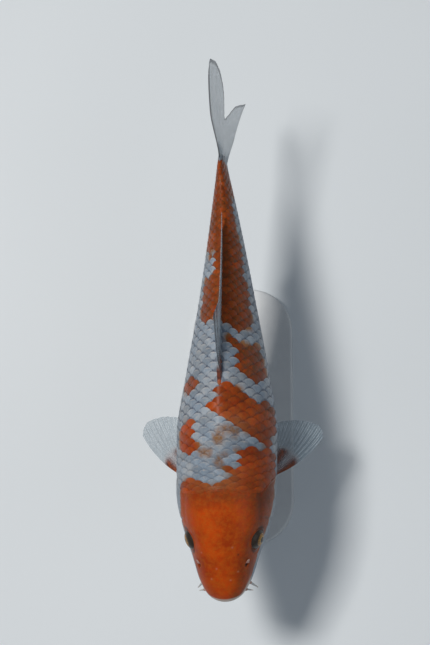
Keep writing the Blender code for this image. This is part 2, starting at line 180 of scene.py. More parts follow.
# The head's hind edge: degrees round the body, and the place of the edge there. From 60 degrees on
# it is the margin of the gill cover, which stands clear of the shoulder by the gill slit.
GILL_EDGE = np.array(
    (
        (0, 0.2440),
        (9, 0.2430),
        (28, 0.2360),
        (48, 0.2380),
        (72, 0.268),
        (93, 0.284),
        (115, 0.277),
        (135, 0.249),
        (155, 0.205),
        (180, 0.165),
    )
)
EDGE_READ_AT = 0.25  # the place where the degrees of the table are turned into shares
NAPE_STEP, GILL_SLIT, HIND_BOW = 0.00018, 0.0017, 0.014


def head_edge(share):
    """The place of the head's hind edge at a share of the way round."""
    turn = np.degrees(np.abs(turn_at(EDGE_READ_AT, share)))
    return smooth(turn, GILL_EDGE[:, 0], GILL_EDGE[:, 1])


def hind_end(share):
    """The place where the body ends over the tail fin: it bows out at mid height, by a cosine."""
    return BODY_END - HIND_BOW * np.cos(math.pi * share) ** 2


# The skin's rings: on the head from the snout to the hind edge, then the slit, then the body.
HEAD_RINGS, BODY_RINGS, AROUND, SNOUT_CROWDING = 176, 104, 256, 1.55
RIM_STEPS = np.array((0.00010, 0.00022, 0.00045, 0.0009, 0.0016, 0.0026))  # behind the edge
ring_shares = np.linspace(-1, 1, AROUND, endpoint=False)
edge = head_edge(ring_shares)[None, :]
head_part = (np.arange(1, HEAD_RINGS + 1) / HEAD_RINGS)[:, None] ** SNOUT_CROWDING
body_part = (np.arange(1, BODY_RINGS + 1) / BODY_RINGS)[:, None]
slit_end = edge + RIM_STEPS[-1] / STANDARD_LENGTH
skin_place = np.concatenate(
    (
        head_part * edge,
        edge + RIM_STEPS[:, None] / STANDARD_LENGTH,
        slit_end + (hind_end(ring_shares)[None, :] - slit_end) * body_part,
    )
)
skin_share = np.broadcast_to(ring_shares[None, :], skin_place.shape)
skin_turn = turn_at(skin_place, skin_share)
skin_base = body_point(skin_place, skin_turn)
skin_out = outward(skin_place, skin_turn)
on_head = skin_place <= edge + 1e-9
turned = np.degrees(np.abs(skin_turn))

# The gill slit behind the hind edge: a wall down to its floor, which climbs back to the coat's bed.
# Sink gathers how far each point of the skin is pressed in.
WALL_RUN, FLOOR_RUN, CLIMB_RUN, RIM_DEPTH, RIM_RUN = 0.00024, 0.0007, 0.0035, 0.00022, 0.0009
behind = (skin_place - edge) * STANDARD_LENGTH
below_nape = ease((turned - 48) / 16)
slit_depth = NAPE_STEP + (GILL_SLIT - NAPE_STEP) * below_nape
wall = ease(behind / WALL_RUN)
climb = ease((behind - FLOOR_RUN) / CLIMB_RUN)
sink = np.where(on_head, 0.0, wall * (slit_depth * (1 - climb) + coat_depth(skin_place) * climb))
sink = sink + hump(behind / RIM_RUN) * RIM_DEPTH * on_head

# The eyes: each lies in a socket with a low rim of skin round it.
EYE_PLACE, EYE_TURN = 0.137, math.radians(62)
EYE_RADIUS, EYE_DEPTH, EYE_SUNK = 0.0068, 0.0044, 0.0024
SOCKET_PROFILE = np.array(  # distance from the eye's axis, and how far the skin lies in there
    (
        (0.0000, 0.0050),
        (0.0046, 0.0044),
        (0.0053, 0.0020),
        (0.0058, 0.0008),
        (0.0063, 0.0003),
        (0.0069, 0.0001),
        (0.0078, 0.0004),
        (0.0090, 0.0003),
        (0.0125, 0.0000),
    )
)
LID_HALF_LENGTH, LID_HALF_HEIGHT = 0.0104, 0.0065


def distance_to(spots):
    """Distance from each point of the skin to the nearest of some spots."""
    return np.min([np.linalg.norm(skin_base - spot, axis=-1) for spot in spots], axis=0)


eye_spots = {side: body_point(EYE_PLACE, sign * EYE_TURN) for side, sign in SIDES.items()}
from_eye = distance_to(eye_spots.values())
along_lid = skin_base[..., 1] - eye_spots["left"][1]
across_lid = np.sqrt(np.maximum(from_eye**2 - along_lid**2, 0))
lid = (np.abs(along_lid) / LID_HALF_LENGTH) ** 1.5 + (across_lid / LID_HALF_HEIGHT) ** 2
sink = sink + smooth(from_eye, SOCKET_PROFILE[:, 0], SOCKET_PROFILE[:, 1])

# The nostrils: a pit on each side of the snout, with room for the flap behind it.
NOSTRIL_PLACE, NOSTRIL_TURN, NOSTRIL_RADIUS, NOSTRIL_DEPTH = 0.081, math.radians(50), 0.0013, 0.0011
nostril_spots = {
    side: body_point(NOSTRIL_PLACE, sign * NOSTRIL_TURN) for side, sign in SIDES.items()
}
from_nostril = distance_to(nostril_spots.values())
sink = sink + NOSTRIL_DEPTH * hump((from_nostril / NOSTRIL_RADIUS) ** 2)

# The mouth: a line that slopes down from the snout, with a rounded lip above and below it, each
# set off by a fold. Cut, folds and corner are given by their depth.
MOUTH_DROP, MOUTH_SLOPE, MOUTH_LENGTH, LIP = 0.0085, math.tan(math.radians(9)), 0.0128, 0.0023
MOUTH_CUT, UPPER_FOLD, LOWER_FOLD, CORNER_DIMPLE = 0.0013, 0.00055, 0.00050, 0.0006
CUT_RUN, UPPER_RUN, LOWER_RUN, CORNER_RUN = 0.00042, 0.00045, 0.00050, 0.0011  # half their widths
from_snout = skin_base[..., 1] - SNOUT_Y
above_mouth = skin_base[..., 2] - (AXIS_Z - MOUTH_DROP - from_snout * MOUTH_SLOPE)
in_mouth = 1 - ease((from_snout - MOUTH_LENGTH + 0.0015) / 0.0022)
corner = np.hypot(from_snout - MOUTH_LENGTH, above_mouth)
sink = sink + in_mouth * (
    MOUTH_CUT * hump(above_mouth / CUT_RUN)
    + UPPER_FOLD * hump((above_mouth - LIP - 0.0005) / UPPER_RUN)
    + LOWER_FOLD * hump((above_mouth + LIP + 0.0004) / LOWER_RUN)
)
sink = sink + CORNER_DIMPLE * hump(corner / CORNER_RUN)

# The cheek: the groove before the gill cover, the ring of small bones under the eye, and the
# folds of skin under the throat, all pressed in to a depth of their own.
GROOVE_DEPTH, GROOVE_RUN, BONE_DEPTH, ISTHMUS_DEPTH = 0.00045, 0.0008, 0.00022, 0.0005
BONE_RING, BONE_RUN = 0.0118, 0.0007  # how far from the eye the bones lie, and half their width
FOLD_DEPTH, FOLD_PITCH = 0.00022, 0.0042
preopercle = 0.186 - 0.062 * ease((turned - 104) / 46) ** 1.4
groove = (skin_place - preopercle) * STANDARD_LENGTH
groove_reach = ease((turned - 56) / 14) * (1 - ease((turned - 150) / 14))
sink = sink + GROOVE_DEPTH * groove_reach * hump(groove / GROOVE_RUN) * on_head
bones = hump((from_eye - BONE_RING) / BONE_RUN)
sink = sink + BONE_DEPTH * bones * ease((turned - 66) / 12) * on_head
cover_top = hump((turned - 46 - (0.25 - skin_place) * 140) / 4.5) * ease((skin_place - 0.165) / 0.02)
sink = sink + BONE_DEPTH * cover_top * on_head
fold = (edge - skin_place) * STANDARD_LENGTH
throat = ease((turned - 134) / 14) * ease((fold - 0.002) / 0.002) * (1 - ease((fold - 0.017) / 0.006))
sink = sink + FOLD_DEPTH * throat * (1 - np.cos(2 * math.pi * fold / FOLD_PITCH)) * on_head
isthmus = hump((np.abs(skin_share) - 1) / 0.028) * ease((skin_place - 0.06) / 0.03)
sink = sink + ISTHMUS_DEPTH * isthmus * on_head

# The vent lies before the anal fin.
VENT_PLACE, VENT_DEPTH, VENT_RADIUS = 0.712, 0.0012, 0.0016
from_vent = distance_to([body_point(VENT_PLACE, math.pi)])
sink = sink + VENT_DEPTH * hump(from_vent / VENT_RADIUS)

# The foot of the back fin: the skin rises along it as a low fleshy sheath.
DORSAL_ROOT, ANAL_ROOT = (0.474, 0.823), (0.735, 0.815)  # the places of their first and last rays
SHEATH_HEIGHT, SHEATH_HALF_WIDTH = 0.0007, 0.0019
beside_root = np.abs(skin_base[..., 0] - body_point(skin_place, 0.0)[..., 0])
sheath = hump((beside_root / SHEATH_HALF_WIDTH) ** 2) * (np.abs(skin_share) < 0.5)
sheath = sheath * ease((skin_place - DORSAL_ROOT[0] + 0.012) / 0.02)
sink = sink - SHEATH_HEIGHT * sheath * (1 - ease((skin_place - DORSAL_ROOT[1] + 0.03) / 0.04))

skin_points = skin_base - skin_out * sink[..., None]

# The markings: rust-orange patches on pearl white. Each is a rounded blot, given by the place and
# share of its middle, its half length and half width in the same terms, and how square it is.
BLOTS = {
    "hood": (
        (0.118, 0.020, 0.150, 0.440, 6),
        (0.215, -0.215, 0.060, 0.150, 2.6),
        (0.235, 0.180, 0.060, 0.270, 3),
    ),
    "left shoulder": (
        (0.290, 0.290, 0.046, 0.175, 3),
        (0.308, 0.175, 0.030, 0.060, 2),
        (0.348, 0.330, 0.022, 0.060, 2),
    ),
    "left flank": ((0.401, 0.300, 0.043, 0.150, 3), (0.408, 0.160, 0.046, 0.080, 2.4)),
    "saddle": (
        (0.441, 0.030, 0.040, 0.066, 2.8),
        (0.452, 0.105, 0.026, 0.060, 2),
        (0.432, -0.055, 0.010, 0.024, 2),
    ),
    "left loin": (
        (0.530, 0.270, 0.043, 0.150, 3),
        (0.545, 0.160, 0.034, 0.040, 2),
        (0.577, 0.075, 0.012, 0.034, 2),
    ),
    "left rump": (
        (0.662, 0.170, 0.060, 0.170, 4),
        (0.760, 0.150, 0.095, 0.160, 4),
        (0.850, 0.130, 0.070, 0.165, 3),
        (0.920, 0.080, 0.090, 0.150, 3),
    ),
    "right shoulder": (
        (0.362, -0.255, 0.038, 0.085, 2.6),
        (0.340, -0.190, 0.014, 0.050, 2),
    ),
    "right flank": ((0.481, -0.300, 0.021, 0.112, 2.4),),
    "right loin": ((0.678, -0.125, 0.056, 0.150, 3), (0.760, -0.040, 0.046, 0.042, 2)),
    "right rump": (
        (0.892, -0.170, 0.105, 0.235, 4),
        (0.776, -0.165, 0.014, 0.036, 2),
    ),
    "stalk": ((0.930, -0.100, 0.080, 0.310, 6), (0.966, 0.180, 0.044, 0.370, 2.6)),
    "fin foot": ((0.498, 0.000, 0.032, 0.024, 3),),
    "specks": ((0.570, -0.176, 0.006, 0.016, 2), (0.328, 0.105, 0.006, 0.012, 2)),
}
BARE = (  # where the white bites back into a patch
    (0.284, -0.060, 0.025, 0.105, 3.2),
    (0.345, 0.180, 0.010, 0.085, 3),
    (0.258, -0.458, 0.066, 0.132, 2.5),
    (0.700, 0.370, 0.100, 0.045, 2),
)
FAINT = (  # the last of the colour in spots that have nearly gone
    (0.299, 0.003, 0.017, 0.034, 2),
    (0.325, -0.085, 0.013, 0.075, 2),
    (0.318, 0.035, 0.008, 0.040, 2),
    (0.357, 0.000, 0.020, 0.042, 2),
    (0.372, 0.060, 0.016, 0.085, 2),
)


def blot(place, share, middle, across, half_length, half_width, square):
    """Metres inside a blot's edge, roughly: 1 less the superellipse radius, times its short half."""
    along = np.abs(place - middle) / half_length
    aside = np.abs(share - across) / half_width
    radius = (along**square + aside**square) ** (1 / square)
    return (1 - radius) * np.minimum(half_length * STANDARD_LENGTH, half_width * 0.1)


def ripple(place, share):
    """A slow unevenness from -1 to 1: four sine waves across each other."""
    x, y = place * STANDARD_LENGTH * 1000, share * 105
    return (
        np.sin(0.61 * x + 0.35 * y + 0.4)
        + np.sin(-0.44 * x + 0.72 * y + 1.9)
        + 0.7 * np.sin(1.15 * x - 0.81 * y + 4.1)
        + 0.7 * np.sin(0.93 * x + 1.31 * y + 2.7)
    ) / 3.4


def red_depth(place, share):
    """Metres inside the nearest patch's edge, less where white bites in, with an uneven edge."""
    inside = [blot(place, share, *b) for group in BLOTS.values() for b in group]
    outside = [blot(place, share, *b) for b in BARE]
    depth = np.minimum(np.maximum.reduce(inside), -np.maximum.reduce(outside))
    return depth + 0.0009 * ripple(place, share)


def faint_red(place, share):
    """0 to 1 in the faded spots."""
    depth = np.maximum.reduce([blot(place, share, *b) for b in FAINT])
    return ease((depth + 0.0008 * ripple(place, share)) / 0.0016)


def redness(depth, soft=0.0015):
    """0 outside a patch and 1 inside it, across an edge of the given softness."""
    return ease(0.5 + depth / soft)


def browned(place, share):
    """How much the orange darkens, 0 to 1: more to the tail and at the nape, painted shade on the left.
    """
    tailward = 0.80 * ease((place - 0.30) / 0.28)
    nape = 0.55 * hump((place - 0.245) / 0.030) * hump(share / 0.22)
    return np.clip(0.10 + tailward + nape + 0.42 * ease((share - 0.08) / 0.22), 0, 1)


OCHRE_FADE = 0.26  # how much of the orange the ochre edge takes away


def ochre_edge(place, share, depth):
    """How far the orange fades to ochre, 0 to 1: behind the hood, and before the saddle."""
    hood = hump((place - 0.262) / 0.030) * hump(share / 0.24)
    saddle = hump((place - 0.388) / 0.022) * hump((share - 0.11) / 0.12)
    return hump((depth - 0.0022) / 0.0045) * np.maximum(hood, saddle)


skin_depth = red_depth(skin_place, skin_share)
skin_depth = skin_depth + 0.004 * (on_head & (np.abs(skin_share) < 0.25))
skin_red = redness(skin_depth, 0.0022)
skin_red = skin_red * (1 - OCHRE_FADE * ochre_edge(skin_place, skin_share, skin_depth))
skin_tone = 0.62 - 0.27 * ease((skin_place - 0.19) / 0.06)
skin_tone = skin_tone - 0.24 * ease((np.abs(skin_share) - 0.10) / 0.16) * on_head
lips = in_mouth * hump(above_mouth / 0.0026) * ease((turned - 60) / 25)
orbit = hump((from_eye - 0.0066) / 0.0007)
facing_up = skin_out[..., 2] - 0.20 - 0.31 * (1 - ease(skin_place / 0.020))
lip_edge = (1 - ease(facing_up / 0.16)) * (0.20 + 0.80 * ease((facing_up + 0.55) / 0.30))
lip_edge = lip_edge * (1 - ease((skin_place - 0.036) / 0.030))
PORES = (  # the openings of the sense canals, pale pricks on the snout and the brow
    (0.050, -0.150),
    (0.047, 0.110),
    (0.072, -0.060),
    (0.066, 0.190),
    (0.108, -0.200),
    (0.118, 0.100),
)
HEAD_SPECK = (0.103, 0.163)  # one small dark fleck on the brow
from_pore = distance_to([lifted(place, share, 0.0) for place, share in PORES])
gill_rim = hump(behind / RIM_RUN) * ease((turned - 56) / 16) * on_head
skin_pale = 0.70 * lips + 0.80 * lip_edge + 0.45 * orbit * ease((turned - 62) / 8) + 0.25 * gill_rim
skin_pale = np.clip(skin_pale + 0.15 * hump(from_pore / 0.0006), 0, 1)

# Painted shade lies in the nostrils, the sockets, the lids, the mouth, the slits and the grooves,
# with more of it on the left side's gill cover, away from the key light. Only the small dark fleck
# on the brow is a real mark.
on_left = skin_share > 0
behind_cover = hump((turned - 62) / 14) * hump((skin_place - 0.235) / 0.045)
dusk_in_each = (
    hump(from_nostril / 0.0011),
    1 - ease((from_eye - 0.0052) / 0.0014),
    0.86 * (1 - ease((lid - 0.75) / 0.40)) * (1 - 0.5 * orbit),
    0.40 * behind_cover * on_left,
    (0.10 + 0.22 * on_left) * cover_top * on_head,
    0.85 * hump(above_mouth / 0.00035) * in_mouth,
    0.80 * wall * (1 - climb) * below_nape * ~on_head,
    0.35 * hump(groove / GROOVE_RUN) * groove_reach * on_head,
    0.75 * hump(distance_to([lifted(*HEAD_SPECK, 0.0)]) / 0.0007),
)
skin_dusk = np.clip(sum(dusk_in_each), 0, 1)


def carry_values(mesh, **values):
    """Puts a number on every vertex of a mesh, under each name."""
    for name, numbers in values.items():
        layer = mesh.attributes.new(name, "FLOAT", "POINT")
        layer.data.foreach_set("value", np.ascontiguousarray(numbers, np.float32).ravel())


def carry_map(mesh, name, corners):
    """A UV map from an array of corners by 2, in the order of the mesh's face corners."""
    layer = mesh.uv_layers.new(name=name)
    layer.data.foreach_set("uv", np.ascontiguousarray(corners, np.float32).ravel())


def add_piece(name, points, faces, finish, sharp=40):
    """A smooth mesh object. Its faces meet sharply past an angle in degrees."""
    mesh = bpy.data.meshes.new(name)
    mesh.from_pydata(np.asarray(points, float).reshape(-1, 3).tolist(), [], faces)
    mesh.shade_smooth()
    mesh.set_sharp_from_angle(angle=math.radians(sharp))
    mesh.materials.append(finish)
    made = bpy.data.objects.new(name, mesh)
    bpy.context.scene.collection.objects.link(made)
    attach(made, "root")
    return made


def feed(tree, node, inputs):
    """Gives each named input of a node a link from a socket, or a plain value."""
    for key, value in inputs.items():
        if isinstance(value, bpy.types.NodeSocket):
            tree.links.new(value, node.inputs[key])
        else:
            node.inputs[key].default_value = value


def put(tree, kind, inputs=None, **settings):
    """A shader node with its settings and its inputs."""
    made = tree.nodes.new(kind)
    for key, value in settings.items():
        setattr(made, key, value)
    feed(tree, made, inputs or {})
    return made


def reckon(tree, operation, a, b=0.0, c=0.0, clamp=False):
    """The result of one sum on numbers or sockets."""
    sums = {0: a, 1: b, 2: c}
    return put(tree, "ShaderNodeMath", sums, operation=operation, use_clamp=clamp).outputs[0]


def tint(tree, share, a, b, how="MIX"):
    """The colour between a and b at a share. Each is a socket or three numbers."""
    a, b = (value if isinstance(value, bpy.types.NodeSocket) else (*value, 1) for value in (a, b))
    inputs = {0: share, 6: a, 7: b}
    return put(tree, "ShaderNodeMix", inputs, data_type="RGBA", blend_type=how).outputs[2]


def spots(tree, size, detail=3.0, roughness=0.55, stretch=(1, 1, 1)):
    """Noise with spots of about the given size in metres, on the object's own coordinates."""
    where = put(tree, "ShaderNodeTexCoord").outputs["Object"]
    where = put(tree, "ShaderNodeMapping", {0: where, "Scale": stretch}).outputs[0]
    settings = {"Vector": where, "Scale": 1 / size, "Detail": detail, "Roughness": roughness}
    return put(tree, "ShaderNodeTexNoise", settings).outputs[0]


def ramp(tree, value, low, high, to_low=0.0, to_high=1.0):
    """A number eased from one range to another."""
    inputs = dict(enumerate((value, low, high, to_low, to_high)))
    return put(tree, "ShaderNodeMapRange", inputs, interpolation_type="SMOOTHSTEP").outputs[0]


def new_group(name, inputs, outputs):
    """An empty node group with number inputs and the named outputs, and its two end nodes."""
    tree = bpy.data.node_groups.new(name, "ShaderNodeTree")
    for key in inputs:
        tree.interface.new_socket(key, in_out="INPUT", socket_type="NodeSocketFloat")
    for key, kind in outputs.items():
        tree.interface.new_socket(key, in_out="OUTPUT", socket_type=kind)
    return tree, tree.nodes.new("NodeGroupInput"), tree.nodes.new("NodeGroupOutput")


# The paint of the fish, shared by skin, scales, nostril flaps and feelers: rust orange over pearl
# white, both clouded, with cream and a near black laid over: painted shade, and a few real specks.
# Net is the dark web between scales, partly pigment and partly painted shade.
ORANGE_DEEP, ORANGE_BRIGHT = (0.29, 0.028, 0.001), (0.48, 0.054, 0.001)
ORANGE_WARM, BROWN = (0.42, 0.088, 0.003), (0.130, 0.047, 0.011)
WHITE_COOL, WHITE_WARM, WHITE_DULL = (0.24, 0.30, 0.37), (0.36, 0.39, 0.42), (0.15, 0.19, 0.25)
WHITE_BLUSH, TAN = (0.46, 0.42, 0.40), (0.26, 0.125, 0.050)
NET_ON_WHITE, NET_ON_ORANGE = (0.06, 0.075, 0.115), (0.060, 0.018, 0.010)
CREAM, DUSK = (0.58, 0.52, 0.45), (0.016, 0.011, 0.008)

paint, given, result = new_group(
    "carp_paint",
    ("Red", "Pale", "Dusk", "Net", "Tone", "Brown"),
    {"Color": "NodeSocketColor", "Roughness": "NodeSocketFloat"},
)
clouds = ramp(paint, spots(paint, 0.014, 4.0), 0.32, 0.68)
flecks = ramp(paint, spots(paint, 0.0032, 3.0, 0.65), 0.34, 0.70)
grain = spots(paint, 0.0006, 2.0)
tone = reckon(paint, "SUBTRACT", given.outputs["Tone"], 0.5)
orange = tint(paint, clouds, ORANGE_DEEP, ORANGE_BRIGHT)
orange = tint(paint, reckon(paint, "MULTIPLY", flecks, 0.55), orange, ORANGE_WARM)
# Browner mottles: the fish's own colour at the tail and nape, painted shade on its left side.
mottle = ramp(paint, spots(paint, 0.0022, 4.0, 0.7), 0.34, 0.62, 0.35, 1.0)
orange = tint(paint, reckon(paint, "MULTIPLY", given.outputs["Brown"], mottle), orange, BROWN)
white = tint(paint, clouds, WHITE_COOL, WHITE_WARM)
white = tint(paint, reckon(paint, "MULTIPLY", flecks, 0.42), white, WHITE_DULL)
blush = ramp(paint, spots(paint, 0.0017, 3.0, 0.7), 0.54, 0.70, 0.0, 0.55)
white = tint(paint, blush, white, WHITE_BLUSH)
full = reckon(paint, "MULTIPLY_ADD", given.outputs["Red"], 2.0, -1.0, clamp=True)
patchy = ramp(paint, spots(paint, 0.0028, 4.0, 0.7), 0.36, 0.60, 1.10, 2.0)
faded = reckon(paint, "MULTIPLY_ADD", given.outputs["Red"], patchy, full, clamp=True)
colour = tint(paint, full, tint(paint, faded, white, TAN), orange)
lightness = reckon(paint, "MULTIPLY_ADD", tone, 0.60, 1.0)
lightness = reckon(paint, "MULTIPLY", lightness, ramp(paint, grain, 0.2, 0.8, 0.93, 1.07))
level = put(paint, "ShaderNodeCombineColor", {0: lightness, 1: lightness, 2: lightness}).outputs[0]
colour = tint(paint, 1.0, colour, level, "MULTIPLY")
# The dark web's colour: pigment, and painted shade where one scale lies over the next.
web = tint(paint, given.outputs["Red"], NET_ON_WHITE, NET_ON_ORANGE)
colour = tint(paint, given.outputs["Net"], colour, web)
colour = tint(paint, given.outputs["Pale"], colour, CREAM)
# Painted shade, with a few real specks, laid over last.
colour = tint(paint, given.outputs["Dusk"], colour, DUSK)
feed(paint, result, {"Color": colour, "Roughness": ramp(paint, flecks, 0.0, 1.0, 0.34, 0.48)})


def new_finish(name, **sockets):
    """A new material, its tree and its shader, whose own sockets are set as given."""
    made = bpy.data.materials.new(name)
    made.use_nodes = True
    tree = made.node_tree
    shader = tree.nodes["Principled BSDF"]
    for key, value in sockets.items():
        shader.inputs[key.replace("_", " ")].default_value = value
    return made, tree, shader


def carried(tree, name):
    """The number that a mesh carries on its vertices under a name."""
    return put(tree, "ShaderNodeAttribute", attribute_name=name).outputs["Fac"]


def wear_paint(tree, shader, carries, **inputs):
    """Lays the fish's paint on a shader. Inputs named in carries are read from the mesh."""
    inputs = {"Tone": 0.5, **inputs, **{key: carried(tree, key.lower()) for key in carries}}
    made = put(tree, "ShaderNodeGroup", inputs, node_tree=paint)
    feed(tree, shader, {"Base Color": made.outputs["Color"], "Roughness": made.outputs["Roughness"]})


def rough_up(tree, shader, height, distance, strength=1.0):
    """Bumps a shader's normal by a height in metres."""
    sockets = {"Height": height, "Distance": distance, "Strength": strength}
    feed(tree, shader, {"Normal": put(tree, "ShaderNodeBump", sockets).outputs[0]})


skin_finish, tree, shader = new_finish("carp_skin", Coat_Weight=0.08, Coat_Roughness=0.12, IOR=1.25)
wear_paint(tree, shader, ("Red", "Pale", "Dusk", "Tone", "Brown"))
pebble = reckon(tree, "MULTIPLY_ADD", spots(tree, 0.0009, 2.0), 0.5, spots(tree, 0.004, 2.0))
rough_up(tree, shader, pebble, 0.00020)


def ring_faces(rings, around):
    """Quads between rings of points, then a fan at the start and one at the end.

    Each fan runs to a single point: the start's comes after all the rings, and the end's after it.
    """
    row, column = np.mgrid[: rings - 1, :around]
    first = row * around + column
    second = row * around + (column + 1) % around
    quads = np.stack((first, second, second + around, first + around), axis=-1).reshape(-1, 4)
    first = np.arange(around)
    second, last_ring = (first + 1) % around, (rings - 1) * around
    start = np.stack((np.full(around, rings * around), second, first), axis=-1)
    end = np.stack((last_ring + first, last_ring + second, np.full(around, rings * around + 1)), axis=-1)
    return quads, start, end


snout_point = body_point(0.0, 0.0) + np.array((0, 0.00002, 0))
tail_point = body_point(BODY_END, 0.0) * (1, 1, 0) + np.array((0, 0.0002, AXIS_Z))
skin_faces = ring_faces(*skin_place.shape)
skin = add_piece(
    "koi_skin",
    np.concatenate((skin_points.reshape(-1, 3), snout_point[None], tail_point[None])),
    [face for group in skin_faces for face in group.tolist()],
    skin_finish,
    sharp=55,
)
carry_values(
    skin.data,
    red=(*skin_red.ravel(), skin_red[0].mean(), 0.0),
    pale=(*skin_pale.ravel(), skin_pale[0].mean(), 0.0),
    dusk=(*skin_dusk.ravel(), 0.0, 0.0),
    tone=(*skin_tone.ravel(), 0.62, 0.35),
    brown=(*browned(skin_place, skin_share).ravel(), 0.1, 0.9),
)

# The bake map is the skin cut along the belly and laid out flat: place one way, share the other.
# Each face counts its columns from its own first one, so none is stretched over the cut. The cap at
# the tail's end lies along the edge of the map.
FIRST_CORNERS, COLUMN_STEPS = (0, 2, 0), ((0, 1, 1, 0), (0.5, 1, 0), (0, 1, 0.5))
LEAST_PLACES = (0, 0, BODY_END)
place_of_point = np.array((*skin_place.ravel(), 0.0, BODY_END))
flat = []
for faces, corner, steps, least in zip(skin_faces, FIRST_CORNERS, COLUMN_STEPS, LEAST_PLACES):
    along = np.maximum(place_of_point[faces], least) / BODY_END
    across = (faces[:, corner, None] % AROUND + np.array(steps)) / AROUND
    flat.append(np.stack((along, across), axis=-1).reshape(-1, 2))
carry_map(skin.data, "OFBake", np.concatenate(flat))
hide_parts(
    "head",
    "lower_jaw",
    "gill_cover_left",
    "gill_cover_right",
    "trunk_front",
    "trunk_rear",
    "tail_stalk",
)

# The scales: thin horny plates in rows from the gill slits to the tail, each rooted under the one
# before it. They are laid as tiles are, in sixteen rows a side, every second row half a step back.

ROWS_A_SIDE, LATERAL_ROW = 16, 7
PITCH = np.array(  # the step from plate to plate along a row, by place
    (
        (0.12, 0.0120),
        (0.25, 0.0132),
        (0.31, 0.0172),
        (0.38, 0.0214),
        (0.50, 0.0224),
        (0.70, 0.0215),
        (0.85, 0.0196),
        (1.04, 0.0170),
    )
)
FIRST_STEP = 0.13  # how far along its first step the first plate of an even row lies
PLATE_LENGTH, PLATE_HALF_WIDTH = 1.9, 1.03  # in steps along the row, and in gaps between rows
LEAST_GAP, PLATE_THICKNESS, PLATE_CROWN = 0.0025, 0.00014, 0.00004
PLATE_COLUMNS, PLATE_STEPS = 9, 4

dense_places = np.linspace(PITCH[0, 0], PITCH[-1, 0], 900)
dense_pitch = smooth(dense_places, PITCH[:, 0], PITCH[:, 1])
steps_so_far = np.concatenate(([0], np.cumsum(np.diff(dense_places) / dense_pitch[1:])))


def row_share(row_number, place):
    """The share at which a row of scales runs at a place.

    Rows lie closer at the back and the belly than on the flank: the row number as a share of the
    half girth, less a sine. Towards the tail they fan out, so the lowest run out at the belly.
    """
    number = np.abs(row_number) / ROWS_A_SIDE
    crowd = 0.29 - 0.10 * ease((place - 0.6) / 0.25)
    spread = 1 + 0.34 * ease((place - 0.62) / 0.26)
    share = number * spread - crowd * np.sin(2 * math.pi * number) / (2 * math.pi)
    return np.sign(row_number) * share


row_numbers = np.arange(-ROWS_A_SIDE + 1, ROWS_A_SIDE + 1)
step_numbers = np.arange(int(steps_so_far[-1]) + 1)
row_of, step_of = (grid.ravel() for grid in np.meshgrid(row_numbers, step_numbers))
plate_place = np.interp(step_of + 0.5 * (row_of % 2) + FIRST_STEP, steps_so_far, dense_places)
plate_share = row_share(row_of, plate_place)
pitch = smooth(plate_place, PITCH[:, 0], PITCH[:, 1]) * STANDARD_LENGTH
gap = row_share(np.abs(row_of) + 0.5, plate_place) - row_share(np.abs(row_of) - 0.5, plate_place)
gap = np.where(row_of == 0, 2 * row_share(0.5 + 0 * row_of, plate_place), gap)
gap = gap * half_girth(plate_place)
drift = (row_share(row_of, plate_place + 0.01) - row_share(row_of, plate_place - 0.01)) / 0.02
length, half_width = PLATE_LENGTH * pitch, PLATE_HALF_WIDTH * np.maximum(gap, LEAST_GAP)
tip_place = plate_place + length / 2 / STANDARD_LENGTH


def near_root(root, sign, reach):
    """True for scales whose middle is within a reach of the root of a paired fin on one side."""
    steps = np.linspace(0, 1, 7)[:, None]
    (place_a, turn_a), (place_b, turn_b) = root
    along_root = body_point(
        place_a + (place_b - place_a) * steps, sign * (turn_a + (turn_b - turn_a) * steps)
    )
    middle = body_point(plate_place, turn_at(plate_place, plate_share))
    return np.min(np.linalg.norm(middle[None] - along_root, axis=-1), axis=0) < reach


# The roots of the paired fins, as the place and the turn of their first and last rays. No scale
# grows there, before the head's hind edge, past the body's end, or under the other fins.
PECTORAL_ROOT = ((0.284, math.radians(111)), (0.311, math.radians(124)))
PELVIC_ROOT = ((0.478, math.radians(158)), (0.508, math.radians(165)))
ROOT_CLEARANCE = 0.0036
HEAD_CLEARANCE, TAIL_OVERHANG, LAST_SHARE, KEEL_SHARE = 0.010, 0.006, 1.01, 0.975

under_dorsal = (tip_place > DORSAL_ROOT[0] + 0.004) & (tip_place < DORSAL_ROOT[1] + 0.012)
under_anal = (tip_place > ANAL_ROOT[0] - 0.02) & (tip_place < ANAL_ROOT[1] + 0.03)
kept = tip_place > head_edge(plate_share) + HEAD_CLEARANCE
kept &= tip_place < hind_end(plate_share) + TAIL_OVERHANG
kept &= np.abs(plate_share) < LAST_SHARE
kept &= ~((row_of == 0) & under_dorsal)
kept &= ~((np.abs(plate_share) > KEEL_SHARE) & under_anal)
for sign in SIDES.values():
    for root in (PECTORAL_ROOT, PELVIC_ROOT):
        kept &= ~near_root(root, sign, ROOT_CLEARANCE)
row_of, plate_place, plate_share, length, half_width, drift = (
    values[kept] for values in (row_of, plate_place, plate_share, length, half_width, drift)
)

